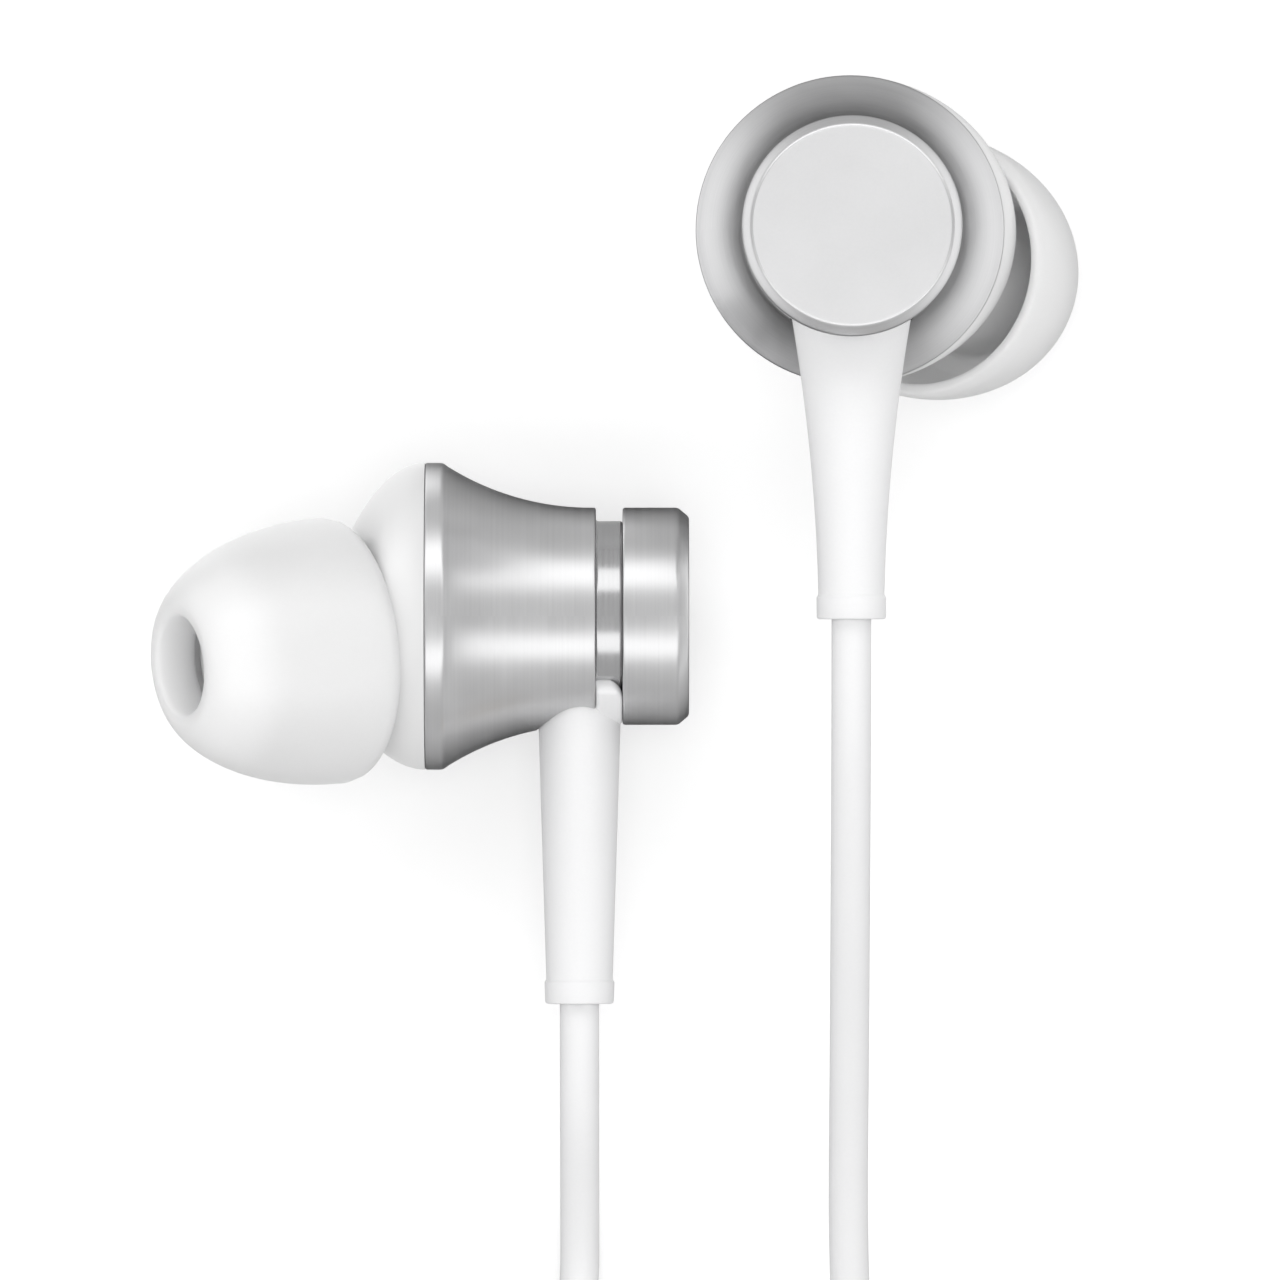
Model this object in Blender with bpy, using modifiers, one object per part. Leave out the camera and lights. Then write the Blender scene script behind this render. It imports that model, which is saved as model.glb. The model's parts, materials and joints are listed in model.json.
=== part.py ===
"""Wired in-ear earphones lying on a table: two earphones, their cord, a call remote and a plug.

World frame in metres: X to the right of the picture, Y up the picture, Z out of the table.
Each earphone is built on its own empty: Z forward to the ear, -Y along the strain relief.
"""

import math

import bmesh
import bpy
from mathutils import Matrix, Vector

MM = 0.001

# Fits
SEAM = 0.1 * MM
CLEAR = 0.3 * MM
COIL_GAP = 0.45 * MM

# Turned metal body, lengths measured back from the front plane of the flange
FLANGE_R = 6.85 * MM
FLANGE_W = 0.8 * MM
FLARE_ARC = 12.0 * MM
FLARE_END = 7.4 * MM
NECK_R = 4.85 * MM
GROOVE_START = 7.63 * MM
GROOVE_R = 4.25 * MM
CAP_START = 8.82 * MM
CAP_END = 11.79 * MM
CAP_CHAMFER = 0.42 * MM
CAP_CHAMFER_L = 0.5 * MM
SPIGOT_R = 3.9 * MM
SPIGOT_END = 10.6 * MM
EDGE = 0.12 * MM
BORE_R = 3.4 * MM
SEAT_R = 5.7 * MM
SEAT_DEPTH = 1.65 * MM
POCKET_R = 4.6 * MM
POCKET_DEPTH = 4.2 * MM

# Front housing and nozzle
DOME_CORE_R = 2.9 * MM
DOME_DEPTH = 2.75 * MM
DOME_TURN = 3.0
HOUSING_WALL = 0.85 * MM
HOUSING_SPIGOT = 0.9 * MM
CHAMBER_R = 5.1 * MM
NOZZLE_SIDE_DEG = 27.84
NOZZLE_DOWN_DEG = 5.77
NOZZLE_R = 2.3 * MM
NOZZLE_LIP_R = 2.5 * MM
NOZZLE_LIP_W = 0.8 * MM
NOZZLE_END = 5.8 * MM
NOZZLE_BORE_R = 1.6 * MM
MESH_R = 1.9 * MM
MESH_T = 0.2 * MM
MESH_INSET = 0.15 * MM
DAMPER_T = 0.8 * MM
DAMPER_AT = 3.6 * MM

# Ear tip, lengths measured forward from the rim of its skirt along the nozzle
TIP_RIM = Vector((3.3, -1.48, 3.71)) * MM
TIP_LENGTH = 8.06 * MM
TIP_R = 5.93 * MM
TIP_RIM_R = 5.7 * MM
TIP_WIDEST = 0.56 * MM
TIP_LIP_R = 2.69 * MM
TIP_FULL = 2.09
TIP_BLUNT = 0.647
TIP_MOUTH_R = 2.2 * MM
TIP_WALL = 0.6 * MM
TIP_CORE_START = 0.4 * MM
TIP_CORE_WALL = 0.7 * MM
TIP_SHOULDER = 6.1 * MM

# Driver
DRIVER_FRONT = 1.0 * MM
FRAME_FLANGE_T = 0.55 * MM
YOKE_R = 4.05 * MM
YOKE_WALL = 0.4 * MM
YOKE_TOP = 1.9 * MM
YOKE_END = 4.1 * MM
YOKE_FLOOR_T = 0.5 * MM
POLE_R = 2.9 * MM
TOP_PLATE_T = 0.55 * MM
COIL_AIR = 0.25 * MM
COIL_LENGTH = 1.55 * MM
FILM_R = 4.95 * MM
FILM_T = 0.22 * MM
FILM_DOME = 0.75 * MM
BOARD_R = 3.1 * MM
BOARD_T = 0.4 * MM

# Strain relief, lengths measured down from the axis of the body
RELIEF_AT = 6.9 * MM
RELIEF_END = 17.3 * MM
RELIEF_ROOT = 3.6 * MM
RELIEF_END_R = 1.45 * MM
RELIEF_WIDE = 1.04 * MM
RELIEF_DEEP = 0.38 * MM
RELIEF_FLARE = 1.9
CUFF_L = 1.1 * MM
CUFF_PROUD = 0.08 * MM
TONGUE_DEG = 48.0
SOCKET_DEPTH = 1.6 * MM

# Cord
CORD_D = 1.75 * MM
CORD_R = CORD_D / 2
PITCH = CORD_D + COIL_GAP
COIL_POINTS = 24
CLIMB_TURNS = 0.5
CLIMB_BULGE = 1.2 * MM
TABLE_Z = CORD_R + 0.05 * MM
TIE_LIFT = 0.8 * MM
TIE_LIFT_TURNS = 0.14
TIE_T = 0.5 * MM
TIE_W = 3.2 * MM
RUN_STEP = 2.5 * CORD_D

# Coil of the two leads
LEAD_COIL_AT = Vector((-3.9, -53.7, 0.0)) * MM
LEAD_COIL_R = 14.5 * MM
LEAD_COIL_IN = LEAD_COIL_R - 4 * PITCH
LEFT_JOIN_TURN = -0.15
LEAD_TIE_TURN = 0.5

# Coil of the main cord
MAIN_COIL_AT = Vector((-6.3, -84.3, 0.0)) * MM
MAIN_COIL_IN = 7.3 * MM
MAIN_LAYER_TURNS = 2.875
MAIN_LAYERS = 4
MAIN_JOIN_TURN = 0.25
CORD_TIE_TURN = 0.7

# Call remote, which is also where the two leads join
REMOTE_AT = Vector((12.0, -76.0, 2.75)) * MM
REMOTE_L = 22.0 * MM
REMOTE_W = 6.4 * MM
REMOTE_H = 5.5 * MM
REMOTE_WALL = 0.8 * MM
REMOTE_EDGE = 0.7 * MM
BUTTON_L = 7.0 * MM
BUTTON_W = 2.8 * MM
BUTTON_PROUD = 0.4 * MM
BUTTON_TRAVEL = 0.35 * MM
BUTTON_LIP = 0.4 * MM
REMOTE_BOARD_T = 0.6 * MM
SWITCH_R = 1.4 * MM
SWITCH_H = 0.5 * MM
MIC_R = 0.9 * MM
MIC_H = 0.8 * MM
MIC_BACK = 7.0 * MM
MIC_HOLE_R = 0.35 * MM

# Plug, lengths measured forward from the front face of its grip
PLUG_AT = Vector((19.3, -62.0, 2.8)) * MM
GRIP_R = 2.75 * MM
GRIP_L = 13.0 * MM
GRIP_EDGE = 0.5 * MM
PLUG_RELIEF_L = 9.0 * MM
PLUG_RELIEF_R = 2.0 * MM
PLUG_RELIEF_END_R = 1.4 * MM
PLUG_RELIEF_SEAT = 2.0 * MM
PIN_R = 1.75 * MM
PIN_CORE_R = 0.9 * MM
PIN_SEAT = 1.5 * MM
PIN_SLEEVE_L = 5.0 * MM
PIN_RING_L = 2.3 * MM
PIN_BAND_L = 0.6 * MM
PIN_TIP_L = 3.4 * MM

# Facets
FACETS = 24
INNER_FACETS = 16
SMALL_FACETS = 14

# How the earphones lie beside each other: the left on its flange, the right on the lip of its ear tip
LAY_MIDDLE = Vector((1.0, 5.175)) * MM
LAY_WIDTH = 18.92 * MM
LAY_LENGTH = 17.15 * MM

# Finishes: colour, roughness and metallic value
ALUMINIUM = ((0.62, 0.62, 0.63), 0.3, 1.0)
WHITE_PLASTIC = ((0.86, 0.86, 0.86), 0.3, 0.0)
SILICONE = ((0.88, 0.88, 0.89), 0.45, 0.0)
WHITE_TPE = ((0.84, 0.84, 0.85), 0.5, 0.0)
STEEL = ((0.5, 0.5, 0.52), 0.35, 1.0)
MAGNET_NICKEL = ((0.42, 0.42, 0.43), 0.4, 1.0)
COPPER = ((0.72, 0.36, 0.2), 0.4, 1.0)
FILM = ((0.55, 0.56, 0.6), 0.25, 0.0)
BLACK_PLASTIC = ((0.05, 0.05, 0.05), 0.5, 0.0)
FELT = ((0.25, 0.25, 0.26), 0.9, 0.0)
BOARD_GREEN = ((0.03, 0.2, 0.09), 0.5, 0.0)
GOLD = ((0.85, 0.62, 0.28), 0.25, 1.0)
BAND_GREY = ((0.3, 0.31, 0.32), 0.7, 0.0)


def clear_scene():
    """Removes every object that the open file holds."""
    for obj in list(bpy.data.objects):
        bpy.data.objects.remove(obj, do_unlink=True)


def collection(name):
    """Makes a collection in the scene."""
    made = bpy.data.collections.new(name)
    bpy.context.scene.collection.children.link(made)
    return made


def empty(name, parts, parent=None, matrix=None):
    """Makes an empty that sub-parts hang on."""
    made = bpy.data.objects.new(name, None)
    made.empty_display_size = 2 * MM
    parts.objects.link(made)
    made.parent = parent
    if matrix is not None:
        made.matrix_local = matrix
    return made


def paint(obj, finish):
    """Gives an object its own Principled material."""
    colour, roughness, metallic = finish
    mat = bpy.data.materials.new(obj.name + "_finish")
    mat.use_nodes = True
    shader = mat.node_tree.nodes["Principled BSDF"]
    shader.inputs["Base Color"].default_value = (*colour, 1.0)
    shader.inputs["Roughness"].default_value = roughness
    shader.inputs["Metallic"].default_value = metallic
    obj.data.materials.append(mat)


def add(name, data, parts, parent, finish, matrix=None):
    """Links an object to its parent and paints it."""
    obj = bpy.data.objects.new(name, data)
    parts.objects.link(obj)
    obj.parent = parent
    if matrix is not None:
        obj.matrix_local = matrix
    if finish is not None:
        paint(obj, finish)
    return obj


def turned(name, profile, parts, parent, finish, steps=FACETS, closed=False, matrix=None):
    """Turns a profile of (radius, height) points, given down its outer side, about Z."""
    mesh = bpy.data.meshes.new(name)
    count = len(profile)
    edges = [(i, i + 1) for i in range(count - 1)]
    if closed:
        edges.append((count - 1, 0))
    mesh.from_pydata([(r, 0.0, z) for r, z in profile], edges, [])
    obj = add(name, mesh, parts, parent, finish, matrix)
    screw = obj.modifiers.new("Turn", "SCREW")
    screw.steps = steps
    screw.render_steps = steps
    screw.use_merge_vertices = True
    screw.merge_threshold = 0.000001
    screw.use_smooth_shade = True
    return obj


def cylinder(name, radius, top, bottom, parts, parent, finish, count=INNER_FACETS, matrix=None):
    """Plain cylinder about Z between two heights."""
    bm = bmesh.new()
    bmesh.ops.create_cone(bm, cap_ends=True, segments=count, radius1=radius, radius2=radius,
                          depth=top - bottom, matrix=Matrix.Translation((0, 0, (top + bottom) / 2)))
    mesh = bpy.data.meshes.new(name)
    bm.to_mesh(mesh)
    bm.free()
    mesh.shade_smooth()
    mesh.set_sharp_from_angle(angle=math.radians(40))
    return add(name, mesh, parts, parent, finish, matrix)


def plate(name, outline, thickness, parts, parent, finish, matrix):
    """Flat plate with an outline, centred on its own XY plane."""
    curve = bpy.data.curves.new(name, "CURVE")
    curve.dimensions = "2D"
    curve.fill_mode = "BOTH"
    curve.extrude = thickness / 2
    spline = curve.splines.new("POLY")
    spline.points.add(len(outline) - 1)
    for point, place in zip(spline.points, outline):
        point.co = (place.x, place.y, 0.0, 1.0)
    spline.use_cyclic_u = True
    return add(name, curve, parts, parent, finish, matrix)


def loft(name, rings, parts, parent, finish, closed=False, matrix=None):
    """Joins rings of points, with a flat cap on each end or the last ring joined to the first."""
    bm = bmesh.new()
    rows = [[bm.verts.new(p) for p in ring] for ring in rings]
    pairs = list(zip(rows, rows[1:]))
    if closed:
        pairs.append((rows[-1], rows[0]))
    else:
        bm.faces.new(rows[0])
        bm.faces.new(rows[-1])
    for near, far in pairs:
        for i in range(len(near)):
            j = (i + 1) % len(near)
            bm.faces.new((near[i], near[j], far[j], far[i])).smooth = True
    bmesh.ops.recalc_face_normals(bm, faces=bm.faces)
    mesh = bpy.data.meshes.new(name)
    bm.to_mesh(mesh)
    bm.free()
    return add(name, mesh, parts, parent, finish, matrix)


def boolean(obj, tool, operation):
    """Cuts or joins a hidden tool with an exact Boolean."""
    step = obj.modifiers.new(tool.name, "BOOLEAN")
    step.operation = operation
    step.solver = "EXACT"
    step.object = tool
    tool.hide_render = True
    tool.display_type = "WIRE"


def circle(radius, matrix, count):
    """Points of a circle in the XY plane of a matrix."""
    angles = [2 * math.pi * i / count for i in range(count)]
    return [matrix @ Vector((radius * math.cos(a), radius * math.sin(a), 0.0)) for a in angles]


def stadium(length, width, height, corner=5):
    """Points of a stadium outline, long side along Y, at a height."""
    radius = width / 2
    points = []
    for end in (1, -1):
        for i in range(corner + 1):
            angle = math.pi * i / corner + (0 if end > 0 else math.pi)
            y = radius * math.sin(angle) + end * (length / 2 - radius)
            points.append(Vector((radius * math.cos(angle), y, height)))
    return points


def rounded_box(length, width, corner, steps=4):
    """Points of a rectangle with round corners in the XY plane, long side along Y."""
    points = []
    for quarter, (x, y) in enumerate(((1, 1), (-1, 1), (-1, -1), (1, -1))):
        middle = Vector((x * (width / 2 - corner), y * (length / 2 - corner), 0.0))
        for i in range(steps + 1):
            angle = math.pi / 2 * (quarter + i / steps)
            points.append(middle + corner * Vector((math.cos(angle), math.sin(angle), 0.0)))
    return points


def flare_radius(back):
    """Radius of the body's concave flare at a distance behind the flange's front plane."""
    return NECK_R + FLARE_ARC - math.sqrt(FLARE_ARC ** 2 - (FLARE_END - back) ** 2)


def nozzle_matrix(side):
    """Frame of the nozzle: origin at the ear tip's rim, Z out along the nozzle."""
    lean = math.radians(NOZZLE_SIDE_DEG)
    drop = math.radians(NOZZLE_DOWN_DEG)
    out = Vector((side * math.sin(lean), -math.cos(lean) * math.sin(drop), math.cos(lean) * math.cos(drop)))
    up = (Vector((0, 1, 0)) - out * out.y).normalized()
    across = up.cross(out)
    turn = Matrix((across, up, out)).transposed().to_4x4()
    return Matrix.Translation((side * TIP_RIM.x, TIP_RIM.y, TIP_RIM.z)) @ turn


def tip_outline():
    """Outer profile of the ear tip from its mouth lip back to its rim, as (radius, height)."""
    span = TIP_LENGTH - TIP_WIDEST
    points = []
    for t in (0.0, 0.03, 0.1, 0.21, 0.38, 0.6, 1.0):
        swell = (1 - (1 - t) ** TIP_FULL) ** TIP_BLUNT
        points.append((TIP_LIP_R + (TIP_R - TIP_LIP_R) * swell, TIP_LENGTH - t * span))
    points.append((TIP_RIM_R, 0.0))
    return points


def tip_profile():
    """Whole ear tip: dome, skirt, core tube, seat for the nozzle and mouth."""
    outer = tip_outline()
    core_in = NOZZLE_LIP_R + CLEAR
    core_out = core_in + TIP_CORE_WALL
    skirt = [(r - TIP_WALL, z - TIP_WALL * 0.25) for r, z in outer[4:7]]
    inside = [(TIP_RIM_R - TIP_WALL * 0.6, 0.0)] + skirt[::-1]
    crown = outer[3][1] - TIP_WALL * 1.4
    inside += [(core_out + CLEAR, crown), (core_out, crown - CLEAR), (core_out, TIP_CORE_START)]
    inside += [(core_in, TIP_CORE_START), (core_in, TIP_SHOULDER), (TIP_MOUTH_R, TIP_SHOULDER)]
    inside += [(TIP_MOUTH_R, TIP_LENGTH - EDGE), (TIP_MOUTH_R + EDGE, TIP_LENGTH)]
    return outer + inside


def reach(profile, matrix, direction):
    """How far a turned profile reaches along a direction."""
    axis = (matrix.to_3x3() @ Vector((0, 0, 1))).normalized()
    lean = math.sqrt(1 - axis.dot(direction) ** 2)
    return max((matrix @ Vector((0, 0, z))).dot(direction) + r * lean for r, z in profile)


def housing_rings(side, inner):
    """Rings of the front housing from the flange to the nozzle's root, leaning aside at once and turning late."""
    root = nozzle_matrix(side) @ Matrix.Translation((0, 0, -SEAM))
    angles = (75, 50) if inner else (0, 16, 32, 48, 63, 77, 90)
    rings = []
    for degrees in angles:
        theta = math.radians(degrees)
        lean = degrees / 90
        turned_by = lean ** DOME_TURN
        end = root.to_translation()
        depth = DOME_DEPTH * math.sin(theta) + SEAM / 2
        centre = Vector((end.x * lean, end.y * turned_by, depth + (end.z - depth) * turned_by))
        turn = Matrix.Identity(3).to_quaternion().slerp(root.to_quaternion(), turned_by)
        radius = DOME_CORE_R + (FLANGE_R - DOME_CORE_R) * math.cos(theta)
        frame = Matrix.Translation(centre) @ turn.to_matrix().to_4x4()
        if inner:
            frame = frame @ Matrix.Translation((0, 0, -HOUSING_WALL))
            radius -= HOUSING_WALL
        rings.append(circle(radius, frame, FACETS))
    return rings


def front_housing(name, side, parts, parent):
    """White shell: spigot in the body, dome, canted nozzle with a lip, bore and chamber behind."""
    nozzle = nozzle_matrix(side)

    def on_nozzle(radius, along):
        return circle(radius, nozzle @ Matrix.Translation((0, 0, along)), FACETS)

    def on_body(radius, forward):
        return circle(radius, Matrix.Translation((0, 0, forward)), FACETS)

    spigot_r = SEAT_R - SEAM
    lip_start = NOZZLE_END - NOZZLE_LIP_W
    mesh_floor = NOZZLE_END - MESH_INSET - MESH_T - SEAM
    rings = [on_body(spigot_r, -HOUSING_SPIGOT), on_body(spigot_r, SEAM / 2)]
    rings += housing_rings(side, inner=False)
    rings += [on_nozzle(NOZZLE_R, 0), on_nozzle(NOZZLE_R, lip_start), on_nozzle(NOZZLE_LIP_R, lip_start)]
    rings += [on_nozzle(NOZZLE_LIP_R, NOZZLE_END - EDGE), on_nozzle(NOZZLE_LIP_R - EDGE, NOZZLE_END)]
    rings += [on_nozzle(MESH_R + SEAM, NOZZLE_END), on_nozzle(MESH_R + SEAM, mesh_floor)]
    rings += [on_nozzle(NOZZLE_BORE_R, mesh_floor), on_nozzle(NOZZLE_BORE_R, -HOUSING_WALL)]
    rings += housing_rings(side, inner=True)
    rings += [on_body(CHAMBER_R, CLEAR), on_body(CHAMBER_R, -HOUSING_SPIGOT)]
    return loft(name, rings, parts, parent, WHITE_PLASTIC, closed=True)


def relief_ring(down, grow=0.0, count=20):
    """Oval section of the strain relief at a distance below the body's axis."""
    u = (RELIEF_END - down) / (RELIEF_END - NECK_R)
    wide = RELIEF_END_R + RELIEF_WIDE * max(u, 0.0) ** RELIEF_FLARE + grow
    deep = RELIEF_END_R + RELIEF_DEEP * u + grow
    angles = [2 * math.pi * i / count for i in range(count)]
    return [Vector((wide * math.cos(a), -down, deep * math.sin(a) - RELIEF_AT)) for a in angles]


def relief_bore(down, radius, count=20):
    """Ring of the strain relief's socket for the cord."""
    angles = [2 * math.pi * i / count for i in range(count)]
    return [Vector((radius * math.cos(a), -down, radius * math.sin(a) - RELIEF_AT)) for a in angles]


def strain_relief(name, parts, cutters, parent):
    """Tapered oval sleeve with a cuff, a tongue in the neck's groove and a socket for the cord."""
    cuff = RELIEF_END - CUFF_L
    stations = (RELIEF_ROOT, 5.0 * MM, 6.6 * MM, 8.4 * MM, 10.5 * MM, 13.0 * MM, cuff)
    rings = [relief_ring(down) for down in stations]
    rings += [relief_ring(cuff + EDGE, CUFF_PROUD), relief_ring(RELIEF_END - EDGE, CUFF_PROUD)]
    rings += [relief_ring(RELIEF_END, CUFF_PROUD - EDGE), relief_bore(RELIEF_END, CORD_R + SEAM)]
    rings.append(relief_bore(RELIEF_END - SOCKET_DEPTH, CORD_R + SEAM))
    sleeve = loft(name, rings, parts, parent, WHITE_TPE)
    low = GROOVE_START + SEAM
    high = CAP_START - SEAM
    bars = []
    for i in range(13):
        angle = math.radians(-TONGUE_DEG + i * TONGUE_DEG / 6)
        out = Vector((math.sin(angle), -math.cos(angle), 0.0))
        inner = out * (GROOVE_R + SEAM)
        outer = out * NECK_R
        drop = Vector((0, 0, -low))
        deep = Vector((0, 0, -high))
        bars.append([inner + drop, outer + drop, outer + deep, inner + deep])
    tongue = loft(name + "_tongue", bars, cutters, parent, None)
    boolean(sleeve, tongue, "UNION")
    return sleeve


def body_profile():
    """Shell from its flange back to its spigot, then the stepped bore forward again."""
    outer = [(FLANGE_R - EDGE, 0.0), (FLANGE_R, -EDGE), (FLANGE_R, -FLANGE_W)]
    for i in range(1, 7):
        back = FLANGE_W + (FLARE_END - FLANGE_W) * i / 6
        outer.append((min(flare_radius(back), FLANGE_R), -back))
    outer += [(NECK_R, -GROOVE_START), (GROOVE_R, -GROOVE_START), (GROOVE_R, -CAP_START)]
    outer += [(SPIGOT_R, -CAP_START), (SPIGOT_R, -SPIGOT_END)]
    inner = [(BORE_R, -SPIGOT_END), (BORE_R, -POCKET_DEPTH), (POCKET_R, -POCKET_DEPTH)]
    inner += [(POCKET_R, -SEAT_DEPTH), (SEAT_R, -SEAT_DEPTH), (SEAT_R, 0.0)]
    return outer + inner


def cap_profile():
    """Rear cap: a cup with a chamfered back that sits on the body's spigot."""
    front = -CAP_START - SEAM
    outer = [(NECK_R - EDGE, front), (NECK_R, front - EDGE), (NECK_R, -CAP_END + CAP_CHAMFER_L)]
    outer += [(NECK_R - CAP_CHAMFER, -CAP_END), (0.0, -CAP_END)]
    socket = SPIGOT_R + SEAM
    floor = -SPIGOT_END - SEAM
    return [(socket, front)] + outer, [(0.0, floor), (socket, floor)]


def driver(side_name, parts, parent):
    """Moving-coil driver: frame, yoke, magnet, top plate, coil, film and terminal board."""
    yoke_in = YOKE_R - YOKE_WALL
    floor = YOKE_END - YOKE_FLOOR_T
    plate_top = YOKE_TOP + SEAM
    coil_in = POLE_R + COIL_AIR
    coil_out = yoke_in - COIL_AIR
    film_back = DRIVER_FRONT - CLEAR
    frame_r = SEAT_R - SEAM
    sleeve_r = POCKET_R - SEAM
    ledge = DRIVER_FRONT + FRAME_FLANGE_T
    frame = [(frame_r, -DRIVER_FRONT), (frame_r, -ledge), (sleeve_r, -ledge), (sleeve_r, -YOKE_END)]
    frame += [(YOKE_R + SEAM, -YOKE_END), (YOKE_R + SEAM, -DRIVER_FRONT)]
    turned(side_name + "_driver_frame", frame, parts, parent, BLACK_PLASTIC, INNER_FACETS, closed=True)
    yoke = [(yoke_in, -YOKE_TOP), (YOKE_R, -YOKE_TOP), (YOKE_R, -YOKE_END), (0.0, -YOKE_END)]
    yoke = [(0.0, -floor), (yoke_in, -floor)] + yoke
    turned(side_name + "_yoke_cup", yoke, parts, parent, STEEL, INNER_FACETS)
    plate_end = plate_top + TOP_PLATE_T
    cylinder(side_name + "_top_plate", POLE_R, -plate_top, -plate_end, parts, parent, STEEL)
    cylinder(side_name + "_magnet", POLE_R - SEAM, -plate_end - SEAM, -floor + SEAM, parts, parent,
             MAGNET_NICKEL)
    board_top = POCKET_DEPTH + SEAM
    cylinder(side_name + "_terminal_board", BOARD_R, -board_top, -board_top - BOARD_T, parts, parent,
             BOARD_GREEN)
    cone = empty(side_name + "_cone", parts, parent, Matrix.Translation((0, 0, -film_back)))
    dome_r = coil_in
    face = [(dome_r * math.sin(math.radians(a)), FILM_T + FILM_DOME * math.cos(math.radians(a)))
            for a in (0, 30, 60, 90)]
    roll = [((dome_r + FILM_R) / 2, FILM_T * 1.8), (FILM_R, FILM_T), (FILM_R, 0.0)]
    back = [((dome_r + FILM_R) / 2, FILM_T * 0.6), (dome_r, 0.0)]
    back += [(r * 0.97, z - FILM_T) for r, z in face[2:0:-1]] + [(0.0, FILM_DOME)]
    turned(side_name + "_diaphragm", face + roll + back, parts, cone, FILM, INNER_FACETS)
    coil = [(coil_out, -SEAM), (coil_out, -COIL_LENGTH), (coil_in, -COIL_LENGTH), (coil_in, -SEAM)]
    turned(side_name + "_voice_coil", coil, parts, cone, COPPER, INNER_FACETS, closed=True)


def earphone(side_name, side, parts, cutters, root, matrix):
    """One earphone on its own empty; side is +1 or -1 for the way the nozzle leans along X."""
    base = empty(side_name + "_earphone", parts, root, matrix)
    shell = turned(side_name + "_body_shell", body_profile(), parts, base, ALUMINIUM, closed=True)
    port_rings = [relief_ring(down, SEAM) for down in (2.4 * MM, RELIEF_ROOT, 5.0 * MM, 6.6 * MM)]
    port = loft(side_name + "_port_cutter", port_rings, cutters, base, None)
    boolean(shell, port, "DIFFERENCE")
    outer, inner = cap_profile()
    turned(side_name + "_rear_cap", inner + outer, parts, base, ALUMINIUM)
    strain_relief(side_name + "_strain_relief", parts, cutters, base)
    front_housing(side_name + "_front_housing", side, parts, base)
    driver(side_name, parts, base)
    nozzle = empty(side_name + "_nozzle", parts, base, nozzle_matrix(side))
    turned(side_name + "_eartip", tip_profile(), parts, nozzle, SILICONE, closed=True)
    mesh_top = NOZZLE_END - MESH_INSET
    cylinder(side_name + "_nozzle_mesh", MESH_R, mesh_top, mesh_top - MESH_T, parts, nozzle, STEEL,
             SMALL_FACETS)
    cylinder(side_name + "_nozzle_damper", NOZZLE_BORE_R - SEAM, DAMPER_AT + DAMPER_T, DAMPER_AT, parts,
             nozzle, FELT, SMALL_FACETS)
    return base


def smoothstep(t):
    """Eases from 0 to 1."""
    t = min(max(t, 0.0), 1.0)
    return t * t * (3 - 2 * t)


def wound(turn, first_in, layer_turns, rate, inner_r):
    """Radius and height of a cord wound in and out, climbing a layer in the half turn at each reversal."""
    outer_r = inner_r + rate * layer_turns
    past = turn - first_in
    if past < 0:
        return inner_r - rate * past, TABLE_Z
    cycle = layer_turns + CLIMB_TURNS
    layer = int(past / cycle + 1e-9)
    within = past - layer * cycle
    at_inner = layer % 2 == 0
    if within < CLIMB_TURNS:
        share = within / CLIMB_TURNS
        bulge = CLIMB_BULGE * math.sin(math.pi * share)
        radius = inner_r - bulge if at_inner else outer_r + bulge
        return radius, TABLE_Z + (layer + smoothstep(share)) * PITCH
    spread = rate * (within - CLIMB_TURNS)
    radius = inner_r + spread if at_inner else outer_r - spread
    return radius, TABLE_Z + (layer + 1) * PITCH


def coil_points(centre, start, stop, tie_turn, shape):
    """Points of a coil wound clockwise from above, lifted a little where its tie passes under it."""
    count = round((stop - start) * COIL_POINTS)
    points = []
    for i in range(count + 1):
        turn = start + (stop - start) * i / count
        radius, height = wound(turn, *shape)
        off = abs((turn - tie_turn + 0.5) % 1.0 - 0.5)
        height += TIE_LIFT * (1 - smoothstep(off / TIE_LIFT_TURNS))
        angle = 2 * math.pi * turn
        points.append(centre + Vector((radius * math.cos(angle), -radius * math.sin(angle), height)))
    return points


def square_ends(points, start_heading, end_heading):
    """Adds a straight stretch of one diameter to each end of a coil."""
    return [points[0] - start_heading * CORD_D] + points + [points[-1] + end_heading * CORD_D]


def smooth_route(points, step):
    """Reads points at an even step from a smooth curve through a short list of route points."""
    route = [2 * points[0] - points[1]] + points + [2 * points[-1] - points[-2]]
    fine = []
    for a, b, c, d in zip(route, route[1:], route[2:], route[3:]):
        for i in range(24):
            t = i / 24
            fine.append(0.5 * (2 * b + (c - a) * t + (2 * a - 5 * b + 4 * c - d) * t ** 2
                               + (3 * b - a - 3 * c + d) * t ** 3))
    fine.append(points[-1])
    lengths = [0.0]
    for p, q in zip(fine, fine[1:]):
        lengths.append(lengths[-1] + (q - p).length)
    count = max(2, round(lengths[-1] / step))
    picked = []
    k = 0
    for i in range(count + 1):
        goal = lengths[-1] * i / count
        while k < len(fine) - 2 and lengths[k + 1] < goal:
            k += 1
        share = (goal - lengths[k]) / (lengths[k + 1] - lengths[k])
        picked.append(fine[k].lerp(fine[k + 1], share))
    return picked


def path_length(points):
    """Length along a list of points."""
    return sum((q - p).length for p, q in zip(points, points[1:]))


def tube(name, points, parts, parent, resolution):
    """Round cord through points."""
    curve = bpy.data.curves.new(name, "CURVE")
    curve.dimensions = "3D"
    curve.bevel_depth = CORD_R
    curve.bevel_resolution = resolution
    curve.use_fill_caps = True
    curve.twist_mode = "Z_UP"
    spline = curve.splines.new("POLY")
    spline.points.add(len(points) - 1)
    for point, place in zip(spline.points, points):
        point.co = (*place, 1.0)
    return add(name, curve, parts, parent, WHITE_TPE)


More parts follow.
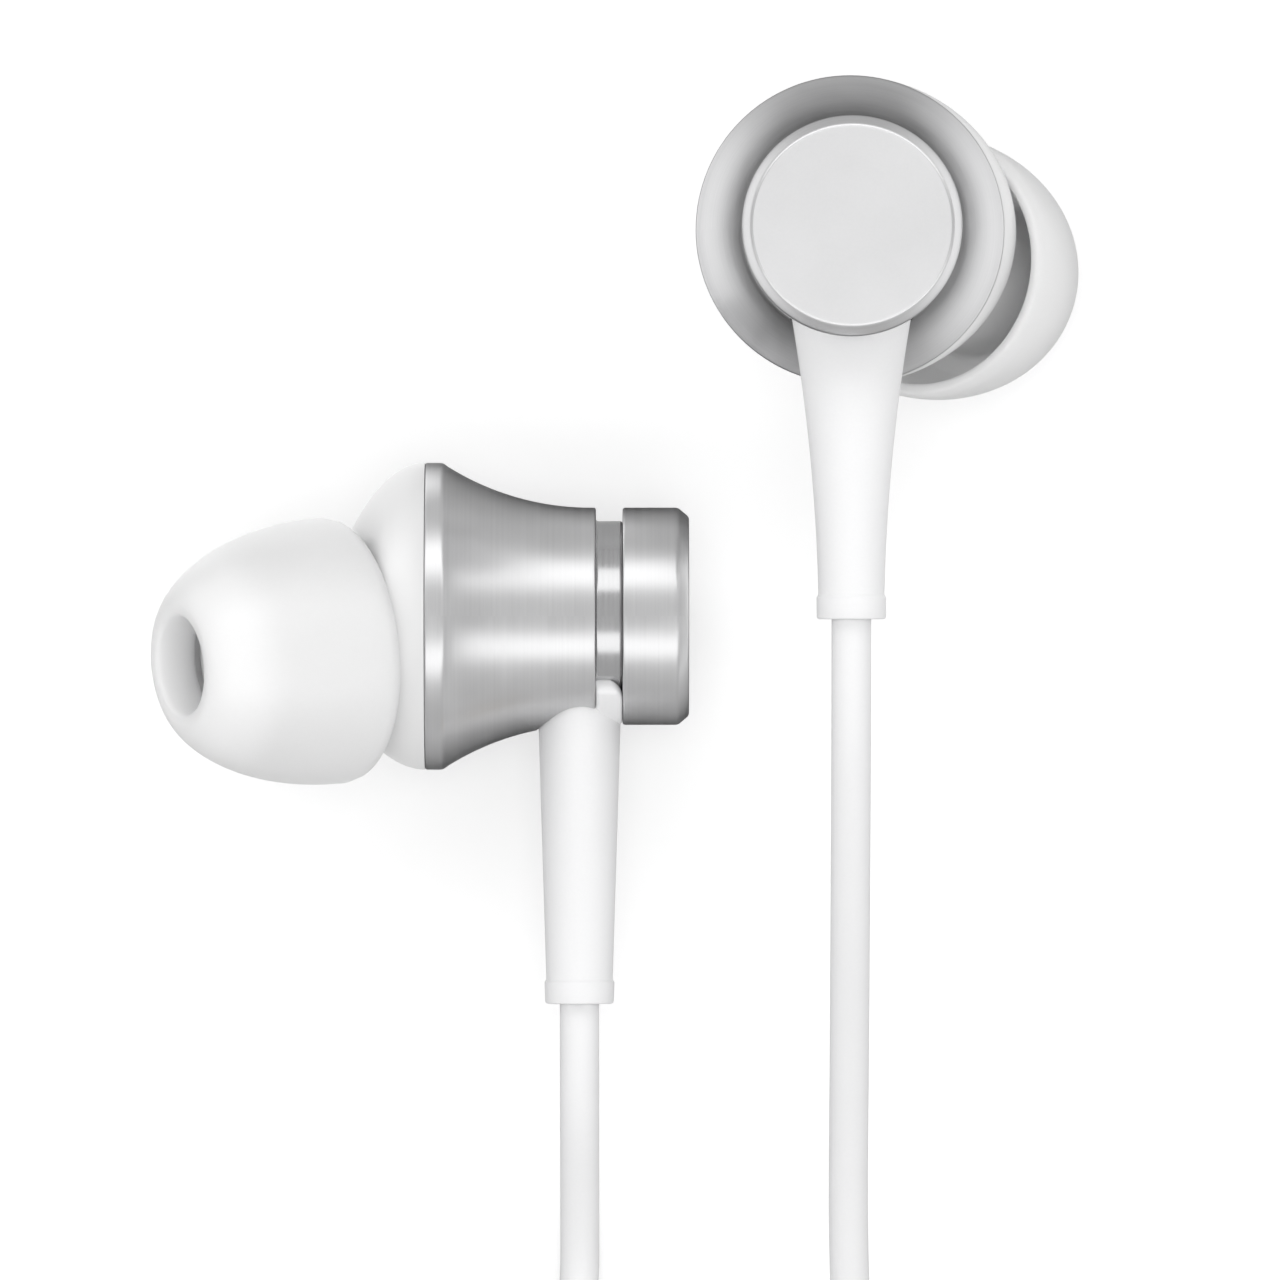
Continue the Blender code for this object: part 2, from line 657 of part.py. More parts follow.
def least_gap(first, second, skip):
    """Least gap between two cords' surfaces; skip leaves out neighbours along one cord."""
    least = 1.0
    for i, p in enumerate(first):
        for j, q in enumerate(second):
            if abs(i - j) > skip:
                least = min(least, (p - q).length)
    return least - CORD_D


def tie(name, centre, turn, reach_in, reach_out, height, parts, parent):
    """Flat band round a coil's bundle at one place on its turn."""
    angle = 2 * math.pi * turn
    out = Vector((math.cos(angle), -math.sin(angle), 0.0))
    along = Vector((out.y, -out.x, 0.0))
    middle = (reach_in + reach_out) / 2
    half = (reach_out - reach_in) / 2
    rings = []
    for shift in (-TIE_W / 2, TIE_W / 2):
        for grow in (0.0, TIE_T) if shift < 0 else (TIE_T, 0.0):
            outline = rounded_box(2 * (half + grow), height + 2 * grow, CORD_R + grow)
            low = centre + out * middle + along * shift + Vector((0, 0, TIE_T + height / 2))
            rings.append([low + out * p.y + Vector((0, 0, p.x)) for p in outline])
    return loft(name, rings, parts, parent, BAND_GREY, closed=True)


def remote(parts, cutters, root):
    """Two-shell call remote with a board, dome switch, microphone and sprung button."""
    base = empty("remote", parts, root, Matrix.Translation(REMOTE_AT))
    half = REMOTE_H / 2
    room_l = REMOTE_L - 2 * REMOTE_WALL
    room_w = REMOTE_W - 2 * REMOTE_WALL
    shells = []
    for name, sign in (("remote_front_shell", 1), ("remote_back_shell", -1)):
        split = sign * SEAM / 2
        rings = [stadium(room_l, room_w, sign * (half - REMOTE_WALL)), stadium(room_l, room_w, split)]
        rings += [stadium(REMOTE_L, REMOTE_W, split)]
        for degrees in (0, 45, 90):
            inset = REMOTE_EDGE * (1 - math.cos(math.radians(degrees)))
            level = half - REMOTE_EDGE * (1 - math.sin(math.radians(degrees)))
            rings.append(stadium(REMOTE_L - 2 * inset, REMOTE_W - 2 * inset, sign * level))
        shells.append(loft(name, rings, parts, base, WHITE_PLASTIC))
    entries = [(-PITCH / 2, REMOTE_L / 2), (PITCH / 2, REMOTE_L / 2), (0.0, -REMOTE_L / 2)]
    for i, (x, y) in enumerate(entries):
        across = Matrix.Translation((x, y, 0)) @ Matrix.Rotation(math.pi / 2, 4, "X")
        cutter = cylinder(f"remote_entry_cutter_{i}", CORD_R + SEAM, 2 * MM, -2 * MM, cutters, base, None,
                          SMALL_FACETS, across)
        for shell in shells:
            boolean(shell, cutter, "DIFFERENCE")
    under, over = half - 1.5 * REMOTE_WALL, half + REMOTE_WALL
    opening = [stadium(BUTTON_L + 2 * SEAM, BUTTON_W + 2 * SEAM, z) for z in (under, over)]
    boolean(shells[0], loft("button_cutter", opening, cutters, base, None), "DIFFERENCE")
    mic_place = Matrix.Translation((0, -MIC_BACK, 0))
    port = cylinder("microphone_port_cutter", MIC_HOLE_R, over, under, cutters, base, None, 8, mic_place)
    boolean(shells[0], port, "DIFFERENCE")

    floor = -half + REMOTE_WALL + SEAM
    board_top = floor + REMOTE_BOARD_T
    sheet = stadium(room_l - 2 * CLEAR, room_w - 2 * CLEAR, 0.0)
    plate("remote_board", sheet, REMOTE_BOARD_T, parts, base, BOARD_GREEN,
          Matrix.Translation((0, 0, (floor + board_top) / 2)))
    foot = board_top + SEAM
    switch = [(0.0, foot + SWITCH_H), (SWITCH_R * 0.7, foot + SWITCH_H * 0.7), (SWITCH_R, foot), (0.0, foot)]
    turned("remote_switch", switch, parts, base, STEEL, SMALL_FACETS)
    cylinder("remote_microphone", MIC_R, foot + MIC_H, foot, parts, base, STEEL, SMALL_FACETS, mic_place)
    lip_top = half - REMOTE_WALL - SEAM
    plunger = foot + SWITCH_H + BUTTON_TRAVEL + SEAM
    lip_l = BUTTON_L + 2 * BUTTON_LIP
    lip_w = BUTTON_W + 2 * BUTTON_LIP
    lip_low = lip_top - 2 * BUTTON_LIP
    rings = [stadium(SWITCH_R, SWITCH_R * 0.9, plunger), stadium(SWITCH_R, SWITCH_R * 0.9, lip_low)]
    rings += [stadium(lip_l, lip_w, lip_low), stadium(lip_l, lip_w, lip_top)]
    rings += [stadium(BUTTON_L, BUTTON_W, lip_top), stadium(BUTTON_L, BUTTON_W, half + BUTTON_PROUD - EDGE)]
    rings += [stadium(BUTTON_L - 2 * EDGE, BUTTON_W - 2 * EDGE, half + BUTTON_PROUD)]
    loft("call_button", rings, parts, base, ALUMINIUM)


def plug(parts, root):
    """Four-pole 3.5 mm plug lying along +Y: grip, relief, insulating core, three rings and a tip."""
    lie = Matrix.Translation(PLUG_AT) @ Matrix.Rotation(-math.pi / 2, 4, "X")
    base = empty("plug", parts, root, lie)
    seat_r = PIN_R + SEAM
    core_hole = PIN_CORE_R + SEAM
    core_back = -PIN_SEAT - 2.5 * MM
    relief_seat = -GRIP_L + PLUG_RELIEF_SEAT
    grip = [(GRIP_R - GRIP_EDGE, 0.0), (GRIP_R, -GRIP_EDGE), (GRIP_R, -GRIP_L + GRIP_EDGE)]
    rear_r = PLUG_RELIEF_R + SEAM
    grip += [(GRIP_R - GRIP_EDGE, -GRIP_L), (rear_r, -GRIP_L), (rear_r, relief_seat), (0.0, relief_seat)]
    bore = [(0.0, core_back), (core_hole, core_back), (core_hole, -PIN_SEAT)]
    bore += [(seat_r, -PIN_SEAT), (seat_r, 0.0)]
    turned("plug_grip", bore + grip, parts, base, ALUMINIUM, INNER_FACETS)
    relief_end = -GRIP_L - PLUG_RELIEF_L
    socket = CORD_R + SEAM
    sleeve = [(0.0, relief_seat - SEAM), (PLUG_RELIEF_R, relief_seat - SEAM), (PLUG_RELIEF_R, -GRIP_L)]
    sleeve += [((PLUG_RELIEF_R + PLUG_RELIEF_END_R) / 2, -GRIP_L - PLUG_RELIEF_L * 0.4)]
    sleeve += [(PLUG_RELIEF_END_R, relief_end), (socket, relief_end), (socket, relief_end + SOCKET_DEPTH)]
    sleeve += [(0.0, relief_end + SOCKET_DEPTH)]
    turned("plug_relief", sleeve, parts, base, WHITE_TPE, SMALL_FACETS)

    ring_in = PIN_CORE_R + SEAM
    at = -PIN_SEAT + SEAM
    core = [(PIN_CORE_R, core_back + SEAM), (0.0, core_back + SEAM)]
    poles = {"plug_sleeve": PIN_SLEEVE_L + PIN_SEAT, "plug_ring_inner": PIN_RING_L}
    poles["plug_ring_outer"] = PIN_RING_L
    for name, length in poles.items():
        top = at + length
        ring = [(PIN_R, top), (PIN_R, at), (ring_in, at), (ring_in, top)]
        turned(name, ring, parts, base, GOLD, SMALL_FACETS, closed=True)
        band = top + SEAM / 2
        core = [(PIN_CORE_R, band)] + core
        core = [(PIN_R - EDGE, band + PIN_BAND_L), (PIN_R - EDGE, band)] + core
        at = band + PIN_BAND_L + SEAM / 2
        if name != "plug_ring_outer":
            core = [(PIN_CORE_R, band + PIN_BAND_L)] + core
    turned("plug_core", [(0.0, at - SEAM / 2)] + core, parts, base, BLACK_PLASTIC, SMALL_FACETS)
    nose = [(0.0, PIN_TIP_L), (0.4 * PIN_R, 0.94 * PIN_TIP_L), (0.88 * PIN_R, 0.56 * PIN_TIP_L)]
    nose += [(0.88 * PIN_R, 0.44 * PIN_TIP_L), (0.66 * PIN_R, 0.3 * PIN_TIP_L), (PIN_R, 0.15 * PIN_TIP_L)]
    nose = [(r, at + z) for r, z in nose + [(PIN_R, 0.0), (0.0, 0.0)]]
    turned("plug_tip", nose, parts, base, GOLD, SMALL_FACETS)


def cords(parts, root, left_exit, right_exit):
    """Two leads and the main cord: a free run, a coil and an end run each."""
    down = Vector((0, -1, 0))
    lead_shape = (2 * PITCH, LEAD_COIL_IN)
    left_coil = coil_points(LEAD_COIL_AT, LEFT_JOIN_TURN, 4.0, LEAD_TIE_TURN, (1.5, 3.0, *lead_shape))
    right_coil = coil_points(LEAD_COIL_AT, 0.0, 4.0, LEAD_TIE_TURN, (2.0, 3.0, *lead_shape))
    main_shape = (MAIN_LAYER_TURNS, MAIN_LAYER_TURNS, PITCH, MAIN_COIL_IN)
    main_stop = MAIN_LAYERS * MAIN_LAYER_TURNS + (MAIN_LAYERS - 1) * CLIMB_TURNS
    main_coil = coil_points(MAIN_COIL_AT, MAIN_JOIN_TURN, main_stop, CORD_TIE_TURN, main_shape)
    join = 2 * math.pi * LEFT_JOIN_TURN
    left_heading = Vector((-math.sin(join), -math.cos(join), 0.0))
    coils = {
        "left_lead_coil": square_ends(left_coil, left_heading, down),
        "right_lead_coil": square_ends(right_coil, down, down),
        "main_cord_coil": square_ends(main_coil, Vector((-1, 0, 0)), down),
    }
    for name, points in coils.items():
        tube(name, points, parts, root, 1)
        gap = least_gap(points, points, COIL_POINTS // 3)
        print(f"{name}: {path_length(points):.4f} m, least gap to itself {gap / MM:.2f} mm")
    apart = least_gap(coils["left_lead_coil"], coils["right_lead_coil"], -1)
    print(f"lead coils: least gap to each other {apart / MM:.2f} mm")

    def before(name, heading):
        return coils[name][0] - heading * CLEAR

    def after(name, back):
        return coils[name][-1] + down * (CLEAR + back)

    def at(x, y, z):
        return Vector((x, y, z)) * MM

    inlet = REMOTE_AT + Vector((0, REMOTE_L / 2 - REMOTE_WALL, 0))
    outlet = REMOTE_AT - Vector((0, REMOTE_L / 2 - REMOTE_WALL, 0))
    left_in = inlet + Vector((PITCH / 2, 0, 0))
    right_in = inlet - Vector((PITCH / 2, 0, 0))
    plug_end = PLUG_AT - Vector((0, GRIP_L + PLUG_RELIEF_L - SOCKET_DEPTH + CLEAR, 0))
    level = TABLE_Z / MM
    left_x = left_exit.x / MM
    right_x = right_exit.x / MM
    lane = (LEAD_COIL_AT.x + LEAD_COIL_R) / MM
    rise = Vector((0, CORD_D, 0))
    runs = {
        "left_lead": [left_exit, left_exit + down * 2.2 * MM, at(left_x, -25.5, 5.6), at(left_x, -29.0, 3.2),
                      at(left_x, -32.2, 1.4), at(left_x, -35.0, level), at(left_x + 0.75, -38.4, level),
                      before("left_lead_coil", left_heading) - left_heading * CORD_D,
                      before("left_lead_coil", left_heading)],
        "right_lead": [right_exit, right_exit + down * 2.2 * MM, at(right_x, -9.0, 18.0),
                       at(right_x, -16.0, 14.2), at(right_x, -23.0, 9.4), at(right_x, -30.0, 4.9),
                       at(lane, -36.0, 2.1), at(lane, -42.0, level),
                       before("right_lead_coil", down) - down * CORD_D, before("right_lead_coil", down)],
        "left_lead_end": [after("left_lead_coil", 0), after("left_lead_coil", 0.8 * MM),
                          left_in + 2 * rise, left_in],
        "right_lead_end": [after("right_lead_coil", 0), after("right_lead_coil", 0.8 * MM),
                           right_in + 2 * rise, right_in],
        "main_cord": [outlet, outlet + down * 3.0 * MM, at(12.0, -90.5, 1.5), at(11.0, -94.0, level),
                      at(8.6, -96.5, level), at(5.0, -97.3, level),
                      before("main_cord_coil", Vector((-1, 0, 0))) + Vector((CORD_D, 0, 0)),
                      before("main_cord_coil", Vector((-1, 0, 0)))],
        "main_cord_end": [after("main_cord_coil", 0), after("main_cord_coil", CORD_D), at(9.0, -90.4, 7.2),
                          at(13.2, -92.4, 6.0), at(17.4, -90.6, 4.2), plug_end - 2 * rise, plug_end],
    }
    for name, route in runs.items():
        points = smooth_route(route, RUN_STEP)
        tube(name, points, parts, root, 2)
        print(f"{name}: {path_length(points):.4f} m, {len(points)} points")


def stand_at_origin(root, pieces):
    """Moves the set so that the earphones' box has its bottom centre at the origin."""
    bpy.context.view_layer.update()
    graph = bpy.context.evaluated_depsgraph_get()
    corners = []
    for obj in pieces:
        shown = obj.evaluated_get(graph)
        corners += [shown.matrix_world @ v.co for v in shown.data.vertices]
    low = [min(c[i] for c in corners) for i in range(3)]
    high = [max(c[i] for c in corners) for i in range(3)]
    root.location -= Vector(((low[0] + high[0]) / 2, (low[1] + high[1]) / 2, 0.0))
    bpy.context.view_layer.update()


def main():
    """Builds the set."""
    clear_scene()
    parts = collection("in_ear_earphones")
    cutters = collection("cutters")
    cutters.hide_render = True
    root = empty("earphone_set", parts)

    left_turn = Matrix(((0, 0, -1), (0, 1, 0), (1, 0, 0))).to_4x4()
    right_turn = Matrix(((-1, 0, 0), (0, 1, 0), (0, 0, -1))).to_4x4()
    stand = reach(tip_profile(), nozzle_matrix(-1), Vector((0, 0, 1)))
    left_at = LAY_MIDDLE - Vector((LAY_WIDTH, LAY_LENGTH)) / 2
    right_at = LAY_MIDDLE + Vector((LAY_WIDTH, LAY_LENGTH)) / 2
    left_place = Matrix.Translation((*left_at, FLANGE_R)) @ left_turn
    right_place = Matrix.Translation((*right_at, stand)) @ right_turn
    earphone("left", 1, parts, cutters, root, left_place)
    earphone("right", -1, parts, cutters, root, right_place)
    pieces = [o for o in parts.objects if o.type == "MESH"]

    exit_local = Vector((0, -(RELIEF_END - SOCKET_DEPTH + CLEAR), -RELIEF_AT))
    cords(parts, root, left_place @ exit_local, right_place @ exit_local)
    slack = CORD_R + 2 * CLEAR
    lead_in = LEAD_COIL_IN - CLIMB_BULGE - slack
    lead_out = LEAD_COIL_R - PITCH + slack
    tie("lead_tie", LEAD_COIL_AT, LEAD_TIE_TURN, lead_in, lead_out, 2 * PITCH + CLEAR, parts, root)
    main_in = MAIN_COIL_IN - CLIMB_BULGE - slack
    main_out = MAIN_COIL_IN + MAIN_LAYER_TURNS * PITCH + CLIMB_BULGE + slack
    tie("cord_tie", MAIN_COIL_AT, CORD_TIE_TURN, main_in, main_out, MAIN_LAYERS * PITCH + CLEAR, parts, root)
    remote(parts, cutters, root)
    plug(parts, root)
    stand_at_origin(root, pieces)


main()
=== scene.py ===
"""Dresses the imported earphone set: fine shapes, finishes, cords, a white table and the camera.

Metres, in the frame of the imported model: X to the right of the picture, Y up it, Z towards the camera.
"""

import json
import logging
import math
from dataclasses import dataclass, field
from enum import Enum

import bmesh
import bpy
from mathutils import Matrix, Vector


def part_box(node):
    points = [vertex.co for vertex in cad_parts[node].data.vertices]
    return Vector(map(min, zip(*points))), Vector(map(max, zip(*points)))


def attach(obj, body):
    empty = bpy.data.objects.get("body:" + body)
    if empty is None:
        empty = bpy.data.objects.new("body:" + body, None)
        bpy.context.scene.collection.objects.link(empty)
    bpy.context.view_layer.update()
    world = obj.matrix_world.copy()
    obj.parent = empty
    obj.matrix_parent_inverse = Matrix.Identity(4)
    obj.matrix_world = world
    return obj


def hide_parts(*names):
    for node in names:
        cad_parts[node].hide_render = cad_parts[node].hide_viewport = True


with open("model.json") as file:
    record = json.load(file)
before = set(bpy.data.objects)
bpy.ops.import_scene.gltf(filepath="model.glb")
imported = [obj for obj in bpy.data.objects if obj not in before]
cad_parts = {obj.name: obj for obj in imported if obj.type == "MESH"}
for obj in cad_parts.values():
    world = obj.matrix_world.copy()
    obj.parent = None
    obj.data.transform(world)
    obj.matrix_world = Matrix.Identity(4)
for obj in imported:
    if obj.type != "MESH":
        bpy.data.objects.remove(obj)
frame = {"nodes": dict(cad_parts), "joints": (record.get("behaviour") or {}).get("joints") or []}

LOG = logging.getLogger("earphones")
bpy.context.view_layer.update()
MM = 0.001
FACETS = 128
BEAD_FACETS = 10
ROUND_STEPS = 8
ROUTE_STEPS = 24
SHARP_DEG = 32.0
SEAM = 0.1 * MM
CLEAR = 0.3 * MM
EDGE = 0.12 * MM
WELD = 0.0005 * MM
ON_AXIS = 0.0001 * MM
TINY = 1e-9
CORNER_SHARE = 0.4
FLAT_DEG = 155.0
FACING = 0.98
PATCHES_PER_TURN = 1.5
PATCHES_PER_MM = 0.35
CORD_D = 1.75 * MM
CORD_R = CORD_D / 2
PITCH = CORD_D + 0.45 * MM
LEFT_TO_ROUTES = Vector((8.46, 3.4, 0.0)) * MM

Profile = list[tuple[float, float]]
Ring = list[Vector]


class Side(Enum):
    """Which ear a piece is for."""

    LEFT = "left"
    RIGHT = "right"


class Marks(Enum):
    """How a surface was made, which sets the pattern on it."""

    MOULDED = "moulded_grain"
    TURNED = "turning_marks"


class Combine(Enum):
    """How one solid changes another."""

    CUT = "DIFFERENCE"
    JOIN = "UNION"


# Finishes


def add_node(tree: bpy.types.NodeTree, kind: str, inputs: dict[object, object],
             **settings: object) -> bpy.types.Node:
    """Adds a node to a shader or geometry tree.

    Args:
        tree: the tree it goes in.
        kind: the node's type.
        inputs: sockets or plain values by the name or number of an input.
        settings: the node's other properties.

    Returns:
        The node.
    """
    node = tree.nodes.new(kind)
    for name, value in settings.items():
        setattr(node, name, value)
    for name, value in inputs.items():
        if isinstance(value, bpy.types.NodeSocket):
            tree.links.new(value, node.inputs[name])
        else:
            node.inputs[name].default_value = value
    return node


class SurfacePattern:
    """Shader node groups that vary a finish over its surface, each built once."""

    def __init__(self, marks: Marks) -> None:
        """Finds a group, or builds it.

        Args:
            marks: the pattern that the group makes.
        """
        self.tree = bpy.data.node_groups.get(marks.value)
        if self.tree is None:
            self.tree = bpy.data.node_groups.new(marks.value, "ShaderNodeTree")
            self._sockets()
            self._build(marks)

    def _sockets(self) -> None:
        """Names what goes into and comes out of a group."""
        face = self.tree.interface
        face.new_socket("Colour", in_out="INPUT", socket_type="NodeSocketColor")
        for name in ("Roughness", "Per millimetre", "Tint", "Spread"):
            face.new_socket(name, in_out="INPUT", socket_type="NodeSocketFloat")
        face.new_socket("Colour", in_out="OUTPUT", socket_type="NodeSocketColor")
        face.new_socket("Roughness", in_out="OUTPUT", socket_type="NodeSocketFloat")
        face.new_socket("Height", in_out="OUTPUT", socket_type="NodeSocketFloat")

    def _math(self, operation: str, first: object, second: object) -> bpy.types.NodeSocket:
        """Adds a Math node.

        Args:
            operation: Blender's name for the sum.
            first: a socket or a number.
            second: a socket or a number.

        Returns:
            The node's value.
        """
        return add_node(self.tree, "ShaderNodeMath", {0: first, 1: second}, operation=operation).outputs[0]

    def _noise(self, vector: bpy.types.NodeSocket, scale: object, detail: float) -> bpy.types.NodeSocket:
        """Adds a noise texture.

        Args:
            vector: where the noise is read.
            scale: a socket or a number.
            detail: how many octaves it has.

        Returns:
            The noise, from 0 to 1.
        """
        inputs = {"Vector": vector, "Scale": scale, "Detail": detail}
        return add_node(self.tree, "ShaderNodeTexNoise", inputs).outputs[0]

    def _build(self, marks: Marks) -> None:
        """Lays out a group's nodes.

        Args:
            marks: the pattern to build.
        """
        given = add_node(self.tree, "NodeGroupInput", {}).outputs
        place = add_node(self.tree, "ShaderNodeTexCoord", {}).outputs
        if marks is Marks.TURNED:
            spot = add_node(self.tree, "ShaderNodeSeparateXYZ", {0: place["UV"]}).outputs
            line = {"X": self._math("MULTIPLY", spot["X"], PATCHES_PER_TURN),
                    "Y": self._math("MULTIPLY", spot["Y"], given["Per millimetre"])}
            fine = self._noise(add_node(self.tree, "ShaderNodeCombineXYZ", line).outputs[0], 1.0, 3.0)
        else:
            fine = self._noise(place["Object"], self._math("DIVIDE", given["Per millimetre"], MM), 2.0)
        broad = self._noise(place["Object"], PATCHES_PER_MM / MM, 2.0)
        swing = self._math("SUBTRACT", self._math("ADD", fine, broad), 1.0)
        level = self._math("ADD", self._math("MULTIPLY", swing, given["Tint"]), 1.0)
        shade = add_node(self.tree, "ShaderNodeVectorMath", {0: given["Colour"], "Scale": level},
                         operation="SCALE")
        rough = self._math("ADD", self._math("MULTIPLY", swing, given["Spread"]), given["Roughness"])
        made = {"Colour": shade.outputs[0], "Roughness": rough, "Height": fine}
        add_node(self.tree, "NodeGroupOutput", made)


@dataclass(frozen=True)
class Finish:
    """A surface finish of the set.

    Attributes:
        slot: the record's material slot.
        colour: linear base colour.
        roughness: mean roughness.
        metallic: 1 for metal.
        marks: the pattern on it.
        per_mm: how fine the pattern is.
        tint: how far the colour varies.
        spread: how far the roughness varies.
        depth: height of the pattern's relief.
        coat: weight of a clear, smooth top layer.
        edge_tint: how much a metal keeps of its reflection where it is seen edge on.
        scatter: how far light goes into it, in metres.
    """

    slot: str
    colour: tuple[float, float, float]
    roughness: float
    metallic: float = 0.0
    marks: Marks = Marks.MOULDED
    per_mm: float = 5.0
    tint: float = 0.05
    spread: float = 0.1
    depth: float = 0.004 * MM
    coat: float = 0.0
    edge_tint: float = 1.0
    scatter: float = 0.0

    def material(self, name: str = "") -> bpy.types.Material:
        """Makes the finish's material once and finds it after that.

        Args:
            name: the material's own name, where it isn't the slot's.

        Returns:
            The material.
        """
        name = name or self.slot
        made = bpy.data.materials.get("finish_" + name)
        if made is not None:
            return made
        made = bpy.data.materials.new("finish_" + name)
        made.use_nodes = True
        tree = made.node_tree
        shader = tree.nodes["Principled BSDF"]
        shader.inputs["Metallic"].default_value = self.metallic
        shader.inputs["Coat Weight"].default_value = self.coat
        shader.inputs["Specular Tint"].default_value = (self.edge_tint,) * 3 + (1.0,)
        if self.scatter:
            shader.inputs["Subsurface Weight"].default_value = 1.0
            shader.inputs["Subsurface Radius"].default_value = (1.0, 1.0, 1.0)
            shader.inputs["Subsurface Scale"].default_value = self.scatter
        values = {"Colour": (*self.colour, 1.0), "Roughness": self.roughness, "Per millimetre": self.per_mm,
                  "Tint": self.tint, "Spread": self.spread}
        pattern = add_node(tree, "ShaderNodeGroup", values, node_tree=SurfacePattern(self.marks).tree)
        tree.links.new(pattern.outputs["Colour"], shader.inputs["Base Color"])
        tree.links.new(pattern.outputs["Roughness"], shader.inputs["Roughness"])
        if self.depth:
            relief = {"Height": pattern.outputs["Height"], "Distance": self.depth}
            bump = add_node(tree, "ShaderNodeBump", relief)
            tree.links.new(bump.outputs["Normal"], shader.inputs["Normal"])
        return made


ALUMINIUM = Finish("aluminium", (0.70, 0.70, 0.705), 0.34, 1.0, Marks.TURNED, 7.0, 0.16, 0.12, 0.002 * MM,
                   edge_tint=0.05)
# Groove metal: its darker colour than the barrel's is painted shade in the recess; its lower roughness is its
# own finish.
GROOVE_PAINTED_SHADE = Finish("aluminium", (0.54, 0.54, 0.545), 0.20, 1.0, Marks.TURNED, 7.0, 0.16, 0.12, 0.002 * MM)
CAP_FACE = Finish("aluminium", (0.87, 0.87, 0.875), 0.50, 1.0, Marks.MOULDED, 9.0, 0.04, 0.08, 0.001 * MM)
WHITE_PLASTIC = Finish("white_plastic", (0.84, 0.84, 0.84), 0.34, per_mm=0.8, tint=0.01, spread=0.03,
                       depth=0.0)
SILICONE = Finish("silicone", (0.93, 0.93, 0.934), 0.36, per_mm=7.0, tint=0.02, depth=0.001 * MM,
                  scatter=1.5 * MM)
SOFT_WHITE = Finish("soft_white", (0.88, 0.88, 0.885), 0.52, per_mm=8.0, tint=0.03, depth=0.002 * MM)
STEEL = Finish("steel", (0.50, 0.50, 0.52), 0.32, 1.0, per_mm=6.0, tint=0.08)
MAGNET = Finish("magnet", (0.42, 0.42, 0.43), 0.40, 1.0, per_mm=3.0, tint=0.1)
COPPER = Finish("copper", (0.72, 0.36, 0.20), 0.38, 1.0, per_mm=12.0, tint=0.15, depth=0.01 * MM)
FILM = Finish("film", (0.55, 0.56, 0.60), 0.25, per_mm=2.0, tint=0.05)
BLACK_PLASTIC = Finish("black_plastic", (0.03, 0.03, 0.032), 0.45, per_mm=6.0, tint=0.2)
FELT = Finish("felt", (0.22, 0.22, 0.23), 0.92, per_mm=16.0, tint=0.5, depth=0.05 * MM)
CIRCUIT_BOARD = Finish("circuit_board", (0.03, 0.20, 0.09), 0.42, per_mm=2.5, tint=0.3, coat=0.3)
GOLD_PLATE = Finish("gold_plate", (0.86, 0.62, 0.27), 0.20, 1.0, Marks.TURNED, 18.0, 0.08, 0.08, 0.001 * MM)
TIE_BAND = Finish("tie_band", (0.60, 0.60, 0.61), 0.72, per_mm=9.0, tint=0.25, depth=0.03 * MM)

CARRIED = {
    "nozzle_damper": FELT, "diaphragm": FILM, "voice_coil": COPPER, "top_plate": STEEL, "magnet": MAGNET,
    "yoke_cup": STEEL, "driver_frame": BLACK_PLASTIC, "terminal_board": CIRCUIT_BOARD,
    "remote_board": CIRCUIT_BOARD, "remote_switch": STEEL, "remote_microphone": STEEL,
}


# Shaping


def fillet(profile: Profile, radius: float, closed: bool = False, steps: int = 4) -> Profile:
    """Rounds the corners of a profile.

    Args:
        profile: (radius, height) points.
        radius: how far back from a corner its round starts.
        closed: whether the last point joins the first.
        steps: stretches in a round.

    Returns:
        The rounded profile.
    """
    points = [Vector(p) for p in profile]
    count = len(points)
    made: Profile = []
    for i, corner in enumerate(points):
        if not closed and i in (0, count - 1):
            made.append(tuple(corner))
            continue
        back = points[i - 1] - corner
        ahead = points[(i + 1) % count] - corner
        if min(back.length, ahead.length) < TINY or back.angle(ahead) > math.radians(FLAT_DEG):
            made.append(tuple(corner))
            continue
        start = corner + back.normalized() * min(radius, CORNER_SHARE * back.length)
        end = corner + ahead.normalized() * min(radius, CORNER_SHARE * ahead.length)
        for k in range(steps + 1):
            t = k / steps
            made.append(tuple(start * (1 - t) ** 2 + corner * 2 * t * (1 - t) + end * t ** 2))
    return made


def circle(radius: float, place: Matrix, count: int = FACETS) -> Ring:
    """Points of a circle in the XY plane of a place."""
    angles = [2 * math.pi * i / count for i in range(count)]
    return [place @ Vector((radius * math.cos(a), radius * math.sin(a), 0.0)) for a in angles]


def stadium(length: float, width: float, height: float, corner: int = 20) -> Ring:
    """Points of a stadium outline.

    Args:
        length: its size along Y.
        width: its size along X.
        height: where it lies along Z.
        corner: stretches in each round end.

    Returns:
        The points.
    """
    radius = width / 2
    points = []
    for end in (1, -1):
        for i in range(corner + 1):
            angle = math.pi * i / corner + (0 if end > 0 else math.pi)
            y = radius * math.sin(angle) + end * (length / 2 - radius)
            points.append(Vector((radius * math.cos(angle), y, height)))
    return points


def mark_edges(piece: bpy.types.Object) -> None:
    """Shades a piece smooth but for its real edges."""
    piece.data.polygons.foreach_set("use_smooth", [True] * len(piece.data.polygons))
    piece.data.set_sharp_from_angle(angle=math.radians(SHARP_DEG))


